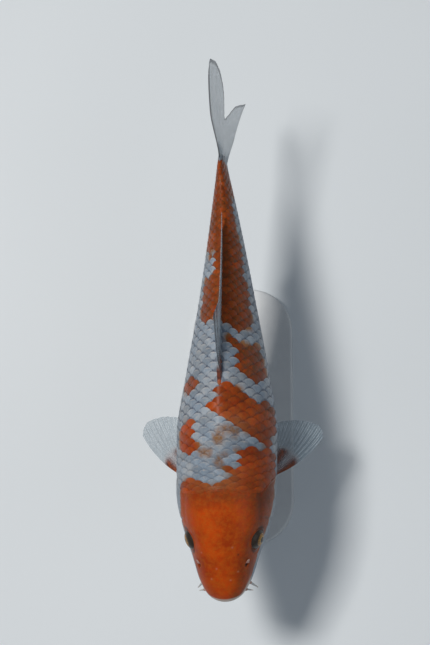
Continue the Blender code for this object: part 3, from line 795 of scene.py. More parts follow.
# One plate, seen flat: columns run from the root to the hind margin, an arc of a circle. Each is a
# little crowned, and lies lowest at its root.
plate_across = np.sin(np.linspace(-math.pi / 2, math.pi / 2, PLATE_COLUMNS))[None, :, None]
plate_step = np.linspace(0, 1, PLATE_STEPS)[None, None, :]
plate_round = np.sqrt(1 - plate_across**2 + 1e-9)
margin = 1 - 0.86 * (half_width / length)[:, None, None] * (1 - plate_round)
margin = np.maximum(margin, 0.45)
root_line = 0.10 * plate_across**2
plate_along = root_line + (margin - root_line) * plate_step
taper = 0.86 + 0.14 * ease(plate_along * 2.4)
from_middle = (plate_along - 0.5) * length[:, None, None] / STANDARD_LENGTH
place = plate_place[:, None, None] + from_middle
aside = plate_across * taper * half_width[:, None, None] / half_girth(plate_place)[:, None, None]
share = plate_share[:, None, None] + aside + drift[:, None, None] * from_middle
depth = coat_depth(place)
plate = PLATE_THICKNESS * depth / COAT_DEPTH
top = -(depth - plate) * (1 - plate_along) - PLATE_CROWN * plate_across**2
body = plate * plate_round * ease(plate_along * 4)
plate_top = lifted(place, share, top)
plate_under = lifted(place, share, top - body)

# The under side shares the root and the sides of the upper one, so each plate is closed.
count = len(row_of)
upper = np.arange(PLATE_COLUMNS * PLATE_STEPS).reshape(PLATE_COLUMNS, PLATE_STEPS)
lower = upper.copy()
inner = (slice(1, -1), slice(1, None))
own = (PLATE_COLUMNS - 2) * (PLATE_STEPS - 1)
lower[inner] = upper.size + np.arange(own).reshape(PLATE_COLUMNS - 2, PLATE_STEPS - 1)


def plate_side(grid):
    """Quads between the neighbours in a plate's grid of point numbers."""
    return np.stack((grid[:-1, :-1], grid[:-1, 1:], grid[1:, 1:], grid[1:, :-1]), axis=-1).reshape(-1, 4)


def both(grid):
    """Numbers of each plate's upper side, then of the points that only its under side has."""
    return np.concatenate((grid.reshape(count, -1), grid[:, 1:-1, 1:].reshape(count, -1)), axis=1)


rim_faces = np.stack((lower[:-1, -1], lower[1:, -1], upper[1:, -1], upper[:-1, -1]), axis=-1)
template = np.concatenate((plate_side(upper)[:, ::-1], plate_side(lower), rim_faces)).tolist()
template = [sorted(set(face), key=face.index) for face in template]
plate_points = np.concatenate(
    (plate_top.reshape(count, -1, 3), plate_under[:, 1:-1, 1:].reshape(count, -1, 3)), axis=1
)
size = plate_points.shape[1]
plate_faces = [[corner + n * size for corner in face] for n in range(count) for face in template]

# Each plate takes its colour mostly from the middle of what shows of it, so patches end in whole
# scales. The dice make no two alike.
shown_place = plate_place + 0.25 * length / STANDARD_LENGTH
shown_share = plate_share + drift * (shown_place - plate_place)
dice = np.random.default_rng(7)
whole = red_depth(shown_place, shown_share)[:, None, None]
local = red_depth(place, share)
plate_red = redness(0.80 * whole + 0.20 * local, 0.0012)
plate_red = plate_red * (1 - OCHRE_FADE * ochre_edge(place, share, local))
faint = 0.52 * faint_red(place, share) * (0.75 + 0.25 * dice.random((count, 1, 1)))
plate_red = np.maximum(plate_red, faint)
plate_tone = np.broadcast_to(0.60 * dice.random(count)[:, None, None], place.shape)
web_strength = 0.38 + 0.54 * ease((plate_place - 0.29) / 0.14)
plate_web = np.broadcast_to(web_strength[:, None, None], place.shape)
pored = np.broadcast_to((np.abs(row_of) == LATERAL_ROW)[:, None, None], place.shape)

# A plate's paint: a dark pocket where it comes out from under the one before and a faint web along
# the margins that lie over it, both pigment with painted shade in them, a pale hind margin, and a
# short dark tube on the row of pores.
scale_finish, tree, shader = new_finish("carp_scales", Coat_Weight=0.03, Coat_Roughness=0.12, IOR=1.25)
on_plate = put(tree, "ShaderNodeUVMap", uv_map="plate").outputs[0]
split = put(tree, "ShaderNodeSeparateXYZ", {0: on_plate}).outputs
from_root, off_middle = split[0], reckon(tree, "ABSOLUTE", reckon(tree, "SUBTRACT", split[1], 0.5))


def oval(middle, half_length, half_width):
    """How far out of an oval on the plate's midline, squared: 0 at its middle and 1 at its edge."""
    along = reckon(tree, "DIVIDE", reckon(tree, "SUBTRACT", from_root, middle), half_length)
    aside = reckon(tree, "DIVIDE", off_middle, half_width)
    squares = (reckon(tree, "MULTIPLY", way, way) for way in (along, aside))
    return reckon(tree, "ADD", *squares)


pocket = ramp(tree, oval(0.50, 0.085, 0.105), 0.15, 2.2, 1.0, 0.0)
covered = ramp(tree, off_middle, 0.0, 0.34, 0.474, 0.737)
seam = ramp(tree, reckon(tree, "SUBTRACT", from_root, covered), 0.012, 0.095, 0.78, 0.0)
uneven = ramp(tree, spots(tree, 0.0022, 3.0), 0.3, 0.65, 0.55, 1.0)
net = reckon(tree, "MULTIPLY", reckon(tree, "MAXIMUM", pocket, seam), carried(tree, "web"))
plainer = reckon(tree, "MULTIPLY_ADD", carried(tree, "red"), -0.38, 1.0)
net = reckon(tree, "MULTIPLY", net, reckon(tree, "MULTIPLY", uneven, plainer), clamp=True)
on_white = reckon(tree, "SUBTRACT", 1.0, carried(tree, "red"))
hind = reckon(tree, "MULTIPLY", ramp(tree, from_root, 0.88, 0.99, 0.0, 0.30), on_white)
tube = ramp(tree, oval(0.72, 0.080, 0.030), 0.1, 1.6, 0.55, 0.0)
tube = reckon(tree, "MULTIPLY", tube, carried(tree, "pored"))
wear_paint(tree, shader, ("Red", "Tone", "Brown"), Net=net, Pale=hind, Dusk=tube)

# Its relief: a pillow that is highest on the midline, with fine ribs along it.
pillow = reckon(tree, "MULTIPLY", reckon(tree, "MULTIPLY", off_middle, off_middle), -6.0)
waves = {"Vector": on_plate, "Scale": 7.0, "Distortion": 1.5}
ribs = put(tree, "ShaderNodeTexWave", waves, bands_direction="Y").outputs[1]
rough_up(tree, shader, reckon(tree, "MULTIPLY_ADD", ribs, 0.02, pillow), 0.0005)

scales = add_piece("koi_scales", plate_points, plate_faces, scale_finish, sharp=38)
carry_values(
    scales.data,
    red=both(plate_red),
    tone=both(plate_tone),
    brown=both(browned(place, share) * (0.70 + 0.30 * dice.random((count, 1, 1)))),
    web=both(plate_web),
    pored=both(pored.astype(float)),
)

# Two maps: one of the single plate, for its paint, and the bake map, where each plate is a small
# patch at its root's place on the laid-out skin.
PATCH = 0.003  # the side of a patch, as a share of the map
corner_index = np.zeros(len(scales.data.loops), np.int32)
scales.data.loops.foreach_get("vertex_index", corner_index)
from_edge = np.broadcast_to(0.5 + 0.5 * plate_across, place.shape)
local_map = np.stack((both(plate_along), both(from_edge)), axis=-1).reshape(-1, 2)
root_spot = np.stack((plate_place / BODY_END, (plate_share + 1) / 2), axis=-1)[:, None, :]
patch = np.clip(root_spot + (local_map.reshape(count, -1, 2) - 0.5) * PATCH, 0, 1).reshape(-1, 2)
carry_map(scales.data, "OFBake", patch[corner_index])
carry_map(scales.data, "plate", local_map[corner_index])

# The eyes: glossy domes, each set into its socket with its axis square to the head. They have a
# black pupil, a thin bright ring and a brassy iris, which is dark at the top.

PUPIL, BRIGHT_RING, IRIS = 0.0020, 0.0023, 0.0050  # their radii over the dome
IRIS_DARK, IRIS_BRASS, RING_GOLD = (0.12, 0.050, 0.007), (0.42, 0.21, 0.030), (0.50, 0.29, 0.06)
IRIS_TOP, IRIS_RIM, PUPIL_BLACK = (0.035, 0.022, 0.012), (0.03, 0.022, 0.016), (0.004, 0.004, 0.005)
GAZE = (0.90, -0.26, 0.14)  # the way the pupil looks, sideways and a little forwards
EYE_RINGS, EYE_SEGMENTS = 40, 48

eye_finish, tree, shader = new_finish("carp_eye", Coat_Weight=0.25, Coat_Roughness=0.03, IOR=1.25)
reach = carried(tree, "reach")
fibres = spots(tree, 0.0011, 4.0, 0.7)
brass = tint(tree, ramp(tree, fibres, 0.3, 0.7), IRIS_DARK, IRIS_BRASS)
brass = tint(tree, reckon(tree, "MULTIPLY", carried(tree, "topside"), 0.8), brass, IRIS_TOP)
brass = tint(tree, ramp(tree, reach, IRIS * 0.86, IRIS), brass, IRIS_RIM)
brass = tint(tree, ramp(tree, reach, BRIGHT_RING, BRIGHT_RING + 0.0005, 1.0, 0.0), brass, RING_GOLD)
brass = tint(tree, ramp(tree, reach, PUPIL, PUPIL + 0.0002, 1.0, 0.0), brass, PUPIL_BLACK)
feed(tree, shader, {"Base Color": brass, "Roughness": ramp(tree, fibres, 0.2, 0.8, 0.22, 0.40)})
rough_up(tree, shader, fibres, 0.00006, 0.6)

# Each dome is a flattened ball: rings from its front to its rear, as far out as the sine of the
# polar angle, and as far forward as its cosine. They run the other way round than the skin's.
polar = np.linspace(0, math.pi, EYE_RINGS + 1)[1:-1, None]
swing = np.linspace(0, 2 * math.pi, EYE_SEGMENTS, endpoint=False)[None, :]
ball = (np.sin(polar) * np.cos(swing), np.sin(polar) * np.sin(swing), np.cos(polar) + 0 * swing)
ball = np.concatenate((np.stack(ball, axis=-1).reshape(-1, 3), ((0, 0, 1), (0, 0, -1))))
quads, front, rear = ring_faces(len(polar), EYE_SEGMENTS)
inside_out = quads[:, (0, 3, 2, 1)], front[:, (0, 2, 1)], rear[:, ::-1]
ball_faces = [face for group in inside_out for face in group.tolist()]
for side, sign in SIDES.items():
    axis = outward(np.array(EYE_PLACE), np.array(sign * EYE_TURN))
    upwards = np.array((0, 0, 1)) - axis * axis[2]
    upwards /= np.linalg.norm(upwards)
    ways = np.stack((np.cross(axis, upwards), upwards, axis))
    centre = eye_spots[side] - axis * EYE_SUNK
    points = centre + ball * (EYE_RADIUS, EYE_RADIUS, EYE_DEPTH) @ ways
    eye = add_piece(f"koi_eye_{side}", points, ball_faces, eye_finish)
    look = ways @ (sign * GAZE[0], GAZE[1], GAZE[2]) / np.linalg.norm(GAZE)
    reach = EYE_RADIUS * np.arccos(np.clip(ball @ look, -1, 1))
    carry_values(eye.data, reach=reach, topside=ease((ball[:, 1] - look[1] - 0.45) / 0.30))
    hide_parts(f"eye_{side}")

# The nostril flaps: a small cream tongue of skin behind each pit. Its foot lies under the skin
# beside the pit, and from there it stands up a little and curls.


def sheet_faces(rows, columns):
    """Faces of a closed thin sheet: a front grid, a back grid after it, and a rim between them."""
    grid = np.arange(rows * columns).reshape(rows, columns)
    front = np.stack((grid[:-1, :-1], grid[1:, :-1], grid[1:, 1:], grid[:-1, 1:]), axis=-1)
    front = front.reshape(-1, 4)
    border = np.concatenate((grid[0, :-1], grid[:-1, -1], grid[-1, :0:-1], grid[:0:-1, 0]))
    after = np.roll(border, -1)
    back = rows * columns
    rim = np.stack((border, after, after + back, border + back), axis=-1)
    return np.concatenate((front, front[:, ::-1] + back, rim)).tolist()


def sheet_points(grid, half_thickness):
    """A front and a back grid either side of a middle one, along its own normals."""
    normal = np.cross(np.gradient(grid, axis=0), np.gradient(grid, axis=1))
    normal /= np.maximum(np.linalg.norm(normal, axis=-1, keepdims=True), 1e-12)
    off = normal * half_thickness[..., None]
    return np.concatenate(((grid + off).reshape(-1, 3), (grid - off).reshape(-1, 3)))


flap_across, flap_up = np.meshgrid(np.linspace(-1, 1, 11), np.linspace(0, 1, 9), indexing="ij")
flap_finish, tree, shader = new_finish("carp_flap", Coat_Weight=0.10, Coat_Roughness=0.15)
wear_paint(tree, shader, ("Red", "Pale"))
rough_up(tree, shader, spots(tree, 0.0006, 2.0), 0.0001)
for side, sign in SIDES.items():
    turn = sign * NOSTRIL_TURN
    up = outward(np.array(NOSTRIL_PLACE), np.array(turn))
    tailward = body_point(NOSTRIL_PLACE + 0.005, turn) - body_point(NOSTRIL_PLACE, turn)
    tailward /= np.linalg.norm(tailward)
    aside = np.cross(up, tailward)
    curl = 0.0006 * (1 - flap_across**2)
    width = 0.0015 * np.sqrt(1 - 0.80 * flap_up**2)
    grid = (
        nostril_spots[side]
        + (0.0004 + curl + 0.0032 * flap_up)[..., None] * tailward
        + (flap_across * width)[..., None] * aside
        + (-0.0007 + 0.0017 * flap_up ** 0.6 * (1 - 0.35 * flap_across**2))[..., None] * up
    )
    flap = add_piece(
        f"koi_nostril_flap_{side}",
        sheet_points(grid, 0.00013 * (1 - 0.5 * flap_up)),
        sheet_faces(*flap_up.shape),
        flap_finish,
    )
    pale = np.tile(0.22 + 0.26 * flap_up.ravel(), 2)
    carry_values(flap.data, red=np.ones(2 * flap_up.size), pale=pale)

# The feelers: two short ones on the upper lip and two longer at the corners of the mouth, soft
# and fleshy, thick at the root and drawn out to a fine end. Each has its root set into the head.

# For each pair: the root's place and turn, the length, the radius, and which way the left one points.
BARBELS = {
    "barbel_upper": (0.028, math.radians(92), 0.0050, 0.0008, (0.80, -0.10, -0.59)),
    "barbel_corner": (0.044, math.radians(106), 0.0095, 0.0010, (0.46, -0.32, -0.83)),
}
BARBEL_SEGMENTS, BARBEL_STEPS = 14, 26
BARBEL_SUNK, BARBEL_TAPER, BARBEL_BLUNT = 0.16, 0.66, 0.05  # set in, thinned and rounded, as shares

barbel_finish, tree, shader = new_finish("carp_barbel", Coat_Weight=0.4, Coat_Roughness=0.15)
wear_paint(tree, shader, ("Red", "Pale"))
rough_up(tree, shader, spots(tree, 0.0005, 2.0), 0.00008)
walk = np.linspace(-BARBEL_SUNK, 1, BARBEL_STEPS)[:, None]
around_it = np.linspace(0, 2 * math.pi, BARBEL_SEGMENTS, endpoint=False)[None, :]
rim = np.arange(BARBEL_SEGMENTS)
barbel_faces = ring_faces(BARBEL_STEPS, BARBEL_SEGMENTS)[0].tolist()
barbel_faces += [rim[::-1].tolist(), (rim + (BARBEL_STEPS - 1) * BARBEL_SEGMENTS).tolist()]
for kind, (root_place, root_turn, reach_out, thick, way) in BARBELS.items():
    for side, sign in SIDES.items():
        heading = np.array((sign * way[0], way[1], way[2]))
        heading /= np.linalg.norm(heading)
        droop = -0.15 * reach_out * walk**2
        path = body_point(root_place, sign * root_turn) + heading * reach_out * walk * 0.995
        path = path + np.concatenate((0 * walk, 0 * walk, droop), axis=1)
        first_way = np.cross(heading, (0, 1, 0.0))
        first_way /= np.linalg.norm(first_way)
        second_way = np.cross(heading, first_way)
        blunt = np.sqrt(np.clip((1.0 - walk) / BARBEL_BLUNT, 0, 1))
        radius = thick * (1 - BARBEL_TAPER * np.clip(walk, 0, 1) ** 0.8) * blunt
        radius = np.maximum(radius, 1e-5) * (1 + 0.35 * hump((walk + 0.05) / 0.14))
        tube_points = (
            path[:, None, :]
            + (radius * np.cos(around_it))[..., None] * first_way
            + (radius * np.sin(around_it))[..., None] * second_way
        )
        barbel = add_piece(f"koi_{kind}_{side}", tube_points, barbel_faces, barbel_finish)
        fade = np.repeat(walk, BARBEL_SEGMENTS, axis=1)
        carry_values(barbel.data, red=1 - ease((fade + 0.05) / 0.25), pale=0.35 + 0.45 * ease(fade))
        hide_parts(f"{kind}_{side}")

# The fins: a fan of jointed, branching rays with thin clear webs between them, made as one closed
# sheet that is thick over each ray, with its foot set under the skin. The web is clear enough to
# see the ground through.

FIN_ROOTED = 0.0025  # how deep a fin's foot is set under the skin
WEB_THICKNESS, RAY_THICKNESS, ROOT_THICKNESS = 0.00022, 0.00075, 0.0019
COLUMNS_PER_RAY, FIN_STEPS = 7, 56
NOTCH, RIPPLE = 0.008, 0.003  # how much shorter the web is than a ray, and rays than each other
BACKWARDS, UPWARDS = np.array((0, 1.0, 0)), np.array((0, 0, 1.0))

# Rays: where they stand along the root, 0 to 1, then heading in degrees, length and curl in degrees.
DORSAL_RAYS = (
    (0.00, 33, 0.0450, 14),
    (0.10, 30, 0.0430, 12),
    (0.25, 27, 0.0330, 8),
    (0.50, 25, 0.0255, 6),
    (0.80, 23, 0.0205, 6),
    (1.00, 19, 0.0165, 6),
)
ANAL_RAYS = (
    (0.00, 52, 0.0300, 12),
    (0.15, 48, 0.0310, 12),
    (0.50, 42, 0.0235, 8),
    (1.00, 30, 0.0150, 6),
)
TAIL_RAYS = (
    (0.00, 34, 0.0610, 25),
    (0.06, 29.5, 0.0700, 24),
    (0.15, 22.5, 0.0680, 18),
    (0.28, 13, 0.0610, 10),
    (0.40, 4.5, 0.0490, 3),
    (0.50, 0, 0.0345, 0),
    (0.62, -9, 0.0405, 0),
    (0.78, -19, 0.0530, 4),
    (0.92, -28, 0.0640, 12),
    (1.00, -31.5, 0.0700, 18),
)
PECTORAL_RAYS = (
    (0.00, 52, 0.0500, 34),
    (0.12, 45, 0.0525, 28),
    (0.30, 35, 0.0480, 18),
    (0.55, 21, 0.0400, 8),
    (0.80, 6, 0.0325, 0),
    (1.00, -8, 0.0235, 0),
)
PELVIC_RAYS = (
    (0.00, 18, 0.0370, 14),
    (0.15, 14, 0.0390, 12),
    (0.50, 4, 0.0320, 6),
    (1.00, -8, 0.0190, 0),
)


def fan(starts, rays, places, along, across, steps, reach):
    """Points of a fan of rays, as an array of rays by steps by 3.

    A ray sets out from its start at half its curl over its heading, which is counted from along
    towards across, turns evenly, and ends at half its curl under it. Reach shortens each ray.
    """
    stands, *measures = np.array(rays, float).T
    heading, length, curl = (smooth(places, stands, measure) for measure in measures)
    middles = (np.arange(steps) + 0.5) / steps
    turn = np.radians(heading[:, None] + curl[:, None] * (0.5 - middles[None, :]))
    stride = (length * reach / steps)[:, None, None]
    strides = stride * (np.cos(turn)[..., None] * along + np.sin(turn)[..., None] * across)
    starts = starts[:, None, :]
    return np.concatenate((starts, starts + np.cumsum(strides, axis=1)), axis=1)


def ray_pattern(ray_places, ray_count, steps):
    """How far each point is on a ray, 0 to 1: a hump over each ray, which forks twice on its way."""
    walk = np.linspace(0, 1, steps + 1)[None, :]
    position = (ray_places * (ray_count - 1))[:, None]
    offset = position - np.round(position)
    fork = 0.20 * ease((walk - 0.34) / 0.5)
    twig = 0.10 * ease((walk - 0.66) / 0.34)
    nearest = np.abs(np.abs(np.abs(offset) - fork) - twig)
    width = 0.17 - 0.09 * walk
    return hump(nearest / width)


WEB_DARK, WEB_LIGHT = (0.13, 0.19, 0.24), (0.20, 0.27, 0.32)
RAY_DARK, RAY_LIGHT = (0.33, 0.41, 0.47), (0.50, 0.57, 0.62)
RUST_DARK, RUST_LIGHT = (0.11, 0.025, 0.009), (0.26, 0.055, 0.012)
FIN_DUSK = (0.030, 0.040, 0.055)

fin_finish, tree, shader = new_finish("carp_fin", Coat_Weight=0.35, Coat_Roughness=0.15, IOR=1.40)
ray, walked, red = carried(tree, "ray"), carried(tree, "walked"), carried(tree, "red")
veil = carried(tree, "veil")
on_fin = put(tree, "ShaderNodeTexCoord").outputs["Object"]
joints = {"Scale": 1 / 0.0016, "Detail": 2.0, "Vector": on_fin}
joints = put(tree, "ShaderNodeTexNoise", joints).outputs[0]
cloud = ramp(tree, spots(tree, 0.010, 3.0), 0.3, 0.7)
web = tint(tree, cloud, WEB_DARK, WEB_LIGHT)
spine = tint(tree, ramp(tree, joints, 0.35, 0.6), RAY_DARK, RAY_LIGHT)
fin_colour = tint(tree, ray, web, spine)
rust = tint(tree, ramp(tree, joints, 0.3, 0.65), RUST_DARK, RUST_LIGHT)
root = ramp(tree, walked, 0.06, 0.26, 0.62, 0.0)
fin_colour = tint(tree, root, fin_colour, tint(tree, cloud, WHITE_COOL, WHITE_WARM))
fin_colour = tint(tree, red, fin_colour, rust)
# Painted shade, as each fin carries it, laid over last.
fin_colour = tint(tree, carried(tree, "shade"), fin_colour, FIN_DUSK)

# The foot is opaque, and so are painted shade and rust. Further out the rays hold more than the web.
opaque = ramp(tree, walked, 0.0, 0.30, 1.0, veil)
on_ray = reckon(tree, "MULTIPLY", ray, ramp(tree, walked, 0.2, 1.0, 0.8, 0.45))
opaque = reckon(tree, "MAXIMUM", opaque, on_ray)
opaque = reckon(tree, "MAXIMUM", opaque, reckon(tree, "MULTIPLY", carried(tree, "shade"), 0.95))
opaque = reckon(tree, "MAXIMUM", opaque, reckon(tree, "MULTIPLY", red, 0.96), clamp=True)
smoothness = ramp(tree, cloud, 0.0, 1.0, 0.28, 0.40)
feed(tree, shader, {"Base Color": fin_colour, "Alpha": opaque, "Roughness": smoothness})
rough_up(tree, shader, joints, 0.00012, 0.7)


def nowhere(u, v):
    """0 all over a fin. Like every look, it is given how far along its root and how far out it is."""
    return 0 * u


def add_fin(name, nodes, starts, rays, ways, veil, red=nowhere, shade=nowhere, flesh=nowhere, shape=None):
    """One fin, from the starts of its columns. Shape moves the finished fan, as a bend or a twist.
    Flesh thickens it where it has a fleshy foot.

    The sheet is as thick as the web, with the ray pattern's hump on it, and the whole swells
    towards the root: the hump's height falls with the root of the way out.
    """
    places, ray_count = np.linspace(0, 1, len(starts)), (len(starts) - 1) // COLUMNS_PER_RAY + 1
    pattern = ray_pattern(places, ray_count, FIN_STEPS)
    tips = pattern[:, -1]
    reach = 0.996 - NOTCH * (1 - tips) - RIPPLE * (1 + np.sin(places * 61.0 + 1.3))
    grid = fan(starts, rays, places, *ways, FIN_STEPS, reach)
    if shape:
        grid = shape(grid)
    v = np.broadcast_to(np.linspace(0, 1, FIN_STEPS + 1)[None, :], pattern.shape)
    u = places[:, None] + 0 * v
    fade = 1 - 0.75 * np.sqrt(v)
    half = (WEB_THICKNESS * (1 - 0.3 * v) + RAY_THICKNESS * pattern * fade) / 2
    half = half + (ROOT_THICKNESS / 2 - half) * (1 - ease(v / 0.16))
    edge_of_fan = np.minimum(places, 1 - places)[:, None] * (ray_count - 1)
    half = half * (0.35 + 0.65 * ease(edge_of_fan / 0.5)) + flesh(u, v)
    made = add_piece(name, sheet_points(grid, half), sheet_faces(*v.shape), fin_finish, sharp=60)
    looks = {"ray": pattern, "walked": v, "red": red(u, v), "shade": shade(u, v), "veil": veil + 0 * v}
    carry_values(made.data, **{key: np.tile(look.ravel(), 2) for key, look in looks.items()})
    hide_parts(*nodes)


def fin_columns(ray_count):
    """Places along a fin's root with the same number of columns to each ray."""
    return np.linspace(0, 1, (ray_count - 1) * COLUMNS_PER_RAY + 1)


def ridge_starts(root, turn, places):
    """Starts along a fin's root on the back or the belly, a little way under the skin."""
    points = body_point(root[0] + (root[1] - root[0]) * places, turn)
    points[:, 2] -= FIN_ROOTED * math.cos(turn)
    return points


# The long fin of the back, half lowered: a stiff leading spine, then twenty rays. It tilts to the
# fish's left, but its front lobe falls to the right, and its foot is rusty where the saddle ends.

DORSAL_TILT = 0.10
LOBE_PLACES, LOBE_LEAN = (0.02, 0.13), 0.0008


def lean(grid):
    """Rays lean left by a share of their height, and the first ones right by a power of their rise."""
    height = grid[..., 2] - grid[:, :1, 2]
    rise = np.linspace(0, 1, grid.shape[1])[None, :]
    behind_lobe = np.interp(np.linspace(0, 1, grid.shape[0]), LOBE_PLACES, (0, 1))[:, None]
    grid[..., 0] += behind_lobe * DORSAL_TILT * height - (1 - behind_lobe) * LOBE_LEAN * rise**1.5
    return grid


def dorsal_rust(u, v):
    """Rust on the foot of the first rays."""
    return (1 - ease((u - 0.07) / 0.12)) * (1 - ease((v - 0.20) / 0.16))


def dorsal_shade(u, v):
    """Painted shade in the two folds between the first rays; their tips and rusty foot are darker too."""
    folds = 0.85 * hump((u - 0.028) / 0.016) + 0.65 * hump((u - 0.085) / 0.020)
    tips = 0.35 * ease((v - 0.92) / 0.06) * (1 - ease((u - 0.10) / 0.08))
    return np.clip(folds * ease((v - 0.22) / 0.12) + tips + 0.32 * dorsal_rust(u, v), 0, 1)


def dorsal_flesh(u, v):
    """The first rays stand on a thicker foot."""
    return 0.0009 * (1 - ease((u - 0.04) / 0.12)) * (1 - ease((v - 0.20) / 0.20))


add_fin(
    "koi_dorsal_fin",
    ("dorsal_fin",),
    ridge_starts(DORSAL_ROOT, 0.0, fin_columns(22)),
    DORSAL_RAYS,
    (BACKWARDS, UPWARDS),
    veil=0.62,
    red=dorsal_rust,
    shade=dorsal_shade,
    flesh=dorsal_flesh,
    shape=lean,
)

# The anal fin: eight short rays that hang stiffly under the tail, as clear as the other fins. Its
# foot is set into the belly just behind the vent.

anal_starts = ridge_starts(ANAL_ROOT, math.pi, fin_columns(8))
add_fin("koi_anal_fin", ("anal_fin",), anal_starts, ANAL_RAYS, (BACKWARDS, -UPWARDS), veil=0.50)

# The forked tail fin, one sheet with two lobes, its foot set into the end of the stalk. It sways
# to the left towards its tips and twists, its upper lobe to the right.

TAIL_ROOT_PLACE, TAIL_ROOT_HALF = 1.005, 0.0135
TAIL_TWIST, TAIL_EASE, TAIL_SWAY, TAIL_SWAY_REACH = math.radians(7), 0.030, 0.0047, 0.070


def sway(grid):
    """The sway grows with the square of the way behind the root, and the twist with the height."""
    behind_root = grid[..., 1] - SNOUT_Y - STANDARD_LENGTH
    swayed = TAIL_SWAY * (np.maximum(behind_root, 0) / TAIL_SWAY_REACH) ** 2
    twisted = (grid[..., 2] - AXIS_Z) * math.tan(TAIL_TWIST) * ease(behind_root / TAIL_EASE)
    grid[..., 0] += swayed - twisted
    return grid


def tail_shade(u, v):
    """Painted shade on both lobes' leading rays; darker along the hind margin and in streaks between."""
    upper_edge = 1 - ease((u - 0.028 - 0.050 * (1 - v) ** 2) / 0.024)
    lower_edge = 0.62 * (1 - ease((1 - u - 0.006) / 0.024))
    leading = np.maximum(upper_edge, lower_edge)
    margin = 0.74 * ease((v - 0.945) / 0.035)
    ripple = np.abs(np.sin(33.0 * u + 0.4 * np.sin(7.0 * v)))
    streaks = 0.30 * hump((ripple - 0.2) / 0.35) * ease(v / 0.3)
    return np.maximum(np.maximum(leading, margin), streaks)


down_root = 1 - 2 * fin_columns(21)
tail_root = (0, SNOUT_Y + TAIL_ROOT_PLACE * STANDARD_LENGTH, AXIS_Z)
add_fin(
    "koi_tail_fin",
    ("tail_fin_upper", "tail_fin_lower"),
    tail_root + down_root[:, None] * (0, 0, TAIL_ROOT_HALF),
    TAIL_RAYS,
    (BACKWARDS, UPWARDS),
    veil=0.40,
    shade=tail_shade,
    shape=sway,
)

# The paired fins: the pectorals behind the gill covers spread like oars, rusty at the root, and the
# pelvics under the belly lie back. Each is set into the body along its own slanting root.

PECTORAL_DROOP = {"left": math.radians(36), "right": math.radians(32)}
PECTORAL_DIP = {"left": math.radians(20), "right": 0.0}
PELVIC_DROOP, PELVIC_DIP = math.radians(56), math.radians(16)


def paired_fin(name, side, root, rays, ray_count, droop, dip, red=nowhere):
    """A fin of a pair: it spreads outwards and droops, with its leading ray foremost."""
    sign, places = SIDES[side], fin_columns(ray_count)
    away = np.array((sign * math.cos(droop), 0, -math.sin(droop)))
    back = np.array((0, math.cos(dip), -math.sin(dip)))
    (place_a, turn_a), (place_b, turn_b) = root
    place = place_a + (place_b - place_a) * places
    turn = sign * (turn_a + (turn_b - turn_a) * places)
    starts = body_point(place, turn) - outward(place, turn) * FIN_ROOTED
    add_fin(f"koi_{name}_{side}", (f"{name}_{side}",), starts, rays, (back, away), veil=0.34, red=red)


def rusty_root(u, v):
    """Rust along the leading rays and in a second tongue behind them, gone a third of the way out."""
    first_tongue = hump((u - 0.04) / 0.15) * (1 - ease((v - 0.36) / 0.14))
    second_tongue = hump((u - 0.46) / 0.19) * (1 - ease((v - 0.40) / 0.12))
    return np.clip(first_tongue + 0.95 * second_tongue, 0, 1)


for side in SIDES:
    droop, dip = PECTORAL_DROOP[side], PECTORAL_DIP[side]
    paired_fin("pectoral_fin", side, PECTORAL_ROOT, PECTORAL_RAYS, 16, droop, dip, rusty_root)
    paired_fin("pelvic_fin", side, PELVIC_ROOT, PELVIC_RAYS, 9, PELVIC_DROOP, PELVIC_DIP)

# The stand: a sheet of satin white moulding with rounded corners, and two rods of brushed steel
# that are screwed into it and end under the belly. Both keep their own solids.

MOULDING_DARK, MOULDING_LIGHT = (0.56, 0.58, 0.60), (0.62, 0.64, 0.65)
STEEL_DARK, STEEL_LIGHT = (0.48, 0.49, 0.50), (0.68, 0.69, 0.70)

base_finish, tree, shader = new_finish("stand_moulding", Coat_Weight=0.15, Coat_Roughness=0.25)
stipple = spots(tree, 0.0007, 2.0)
clouding = ramp(tree, spots(tree, 0.03, 3.0), 0.3, 0.7)
white = tint(tree, clouding, MOULDING_DARK, MOULDING_LIGHT)
feed(tree, shader, {"Base Color": white, "Roughness": ramp(tree, stipple, 0.2, 0.8, 0.40, 0.52)})
rough_up(tree, shader, stipple, 0.00008)
rod_finish, tree, shader = new_finish("stand_steel", Metallic=1.0)
brushed = spots(tree, 0.0012, 3.0, 0.6, stretch=(1, 1, 0.06))
steel = tint(tree, brushed, STEEL_DARK, STEEL_LIGHT)
feed(tree, shader, {"Base Color": steel, "Roughness": ramp(tree, brushed, 0.2, 0.8, 0.22, 0.38)})
rough_up(tree, shader, brushed, 0.00004)
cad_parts["stand_base"].material_slots[0].material = base_finish
for end in ("front", "rear"):
    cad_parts[f"stand_rod_{end}"].material_slots[0].material = rod_finish

# The studio: a wide pale floor, a soft key light from the fish's right, a weak fill opposite, and
# the camera above the fish's back, a little to its left and behind its head.

FLOOR_HALF = 3.0
FLOOR_DARK, FLOOR_LIGHT = (0.69, 0.73, 0.76), (0.73, 0.77, 0.80)
AIM = Vector((-0.0055, 0.0482, AXIS_Z))  # where the lights and the camera are pointed

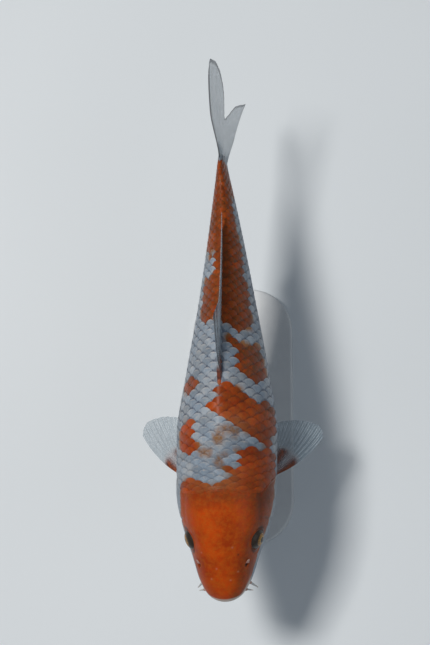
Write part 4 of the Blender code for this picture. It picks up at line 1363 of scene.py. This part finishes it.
floor_finish, tree, shader = new_finish("studio_floor", Roughness=0.8)
patchy = ramp(tree, spots(tree, 0.5, 2.0), 0.3, 0.7)
feed(tree, shader, {"Base Color": tint(tree, patchy, FLOOR_DARK, FLOOR_LIGHT)})
corners = [(x * FLOOR_HALF, y * FLOOR_HALF, 0.0) for x, y in ((-1, -1), (1, -1), (1, 1), (-1, 1))]
mesh = bpy.data.meshes.new("studio_floor")
mesh.from_pydata(corners, [], [(0, 1, 2, 3)])
mesh.materials.append(floor_finish)
floor = bpy.data.objects.new("studio_floor", mesh)
bpy.context.scene.collection.objects.link(floor)


def add_light(name, where, size, power, tone):
    """A square soft light at a spot, aimed at the fish."""
    lamp = bpy.data.lights.new(name, "AREA")
    lamp.shape, lamp.size, lamp.energy, lamp.color = "SQUARE", size, power, tone
    made = bpy.data.objects.new(name, lamp)
    made.location = where
    made.rotation_euler = (AIM - Vector(where)).to_track_quat("-Z", "Y").to_euler()
    bpy.context.scene.collection.objects.link(made)


add_light("key", (-0.42, 0.20, 1.42), size=0.30, power=15.5, tone=(1.0, 0.97, 0.93))
add_light("fill", (1.2, -0.4, 1.0), size=1.2, power=2.4, tone=(0.85, 0.93, 1.0))
world = bpy.data.worlds.new("studio")
world.use_nodes = True
background = world.node_tree.nodes["Background"]
feed(world.node_tree, background, {"Color": (0.82, 0.90, 1.0, 1), "Strength": 0.20})
bpy.context.scene.world = world
bpy.context.scene.view_settings.view_transform = "Standard"

CAMERA_ASIDE, CAMERA_ELEVATION, CAMERA_DISTANCE = math.radians(7.5), math.radians(80), 1.1
VIEW_HEIGHT, CAMERA_ROLL, SENSOR = 0.417, 0.0023, 36.0  # metres seen at the fish, roll, millimetres
back = Vector((math.sin(CAMERA_ASIDE), -math.cos(CAMERA_ELEVATION), math.sin(CAMERA_ELEVATION)))
back.normalize()
right = (-back).cross(Vector((CAMERA_ROLL, 1, 0))).normalized()
up = back.cross(right)
lens = bpy.data.cameras.new("camera")
lens.sensor_width = SENSOR
lens.lens = SENSOR / 2 / math.tan(math.atan(VIEW_HEIGHT / 2 / CAMERA_DISTANCE))
camera = bpy.data.objects.new("camera", lens)
facing = Matrix((right, up, back)).transposed()
camera.matrix_world = Matrix.LocRotScale(AIM + back * CAMERA_DISTANCE, facing, None)
bpy.context.scene.collection.objects.link(camera)
bpy.context.scene.camera = camera
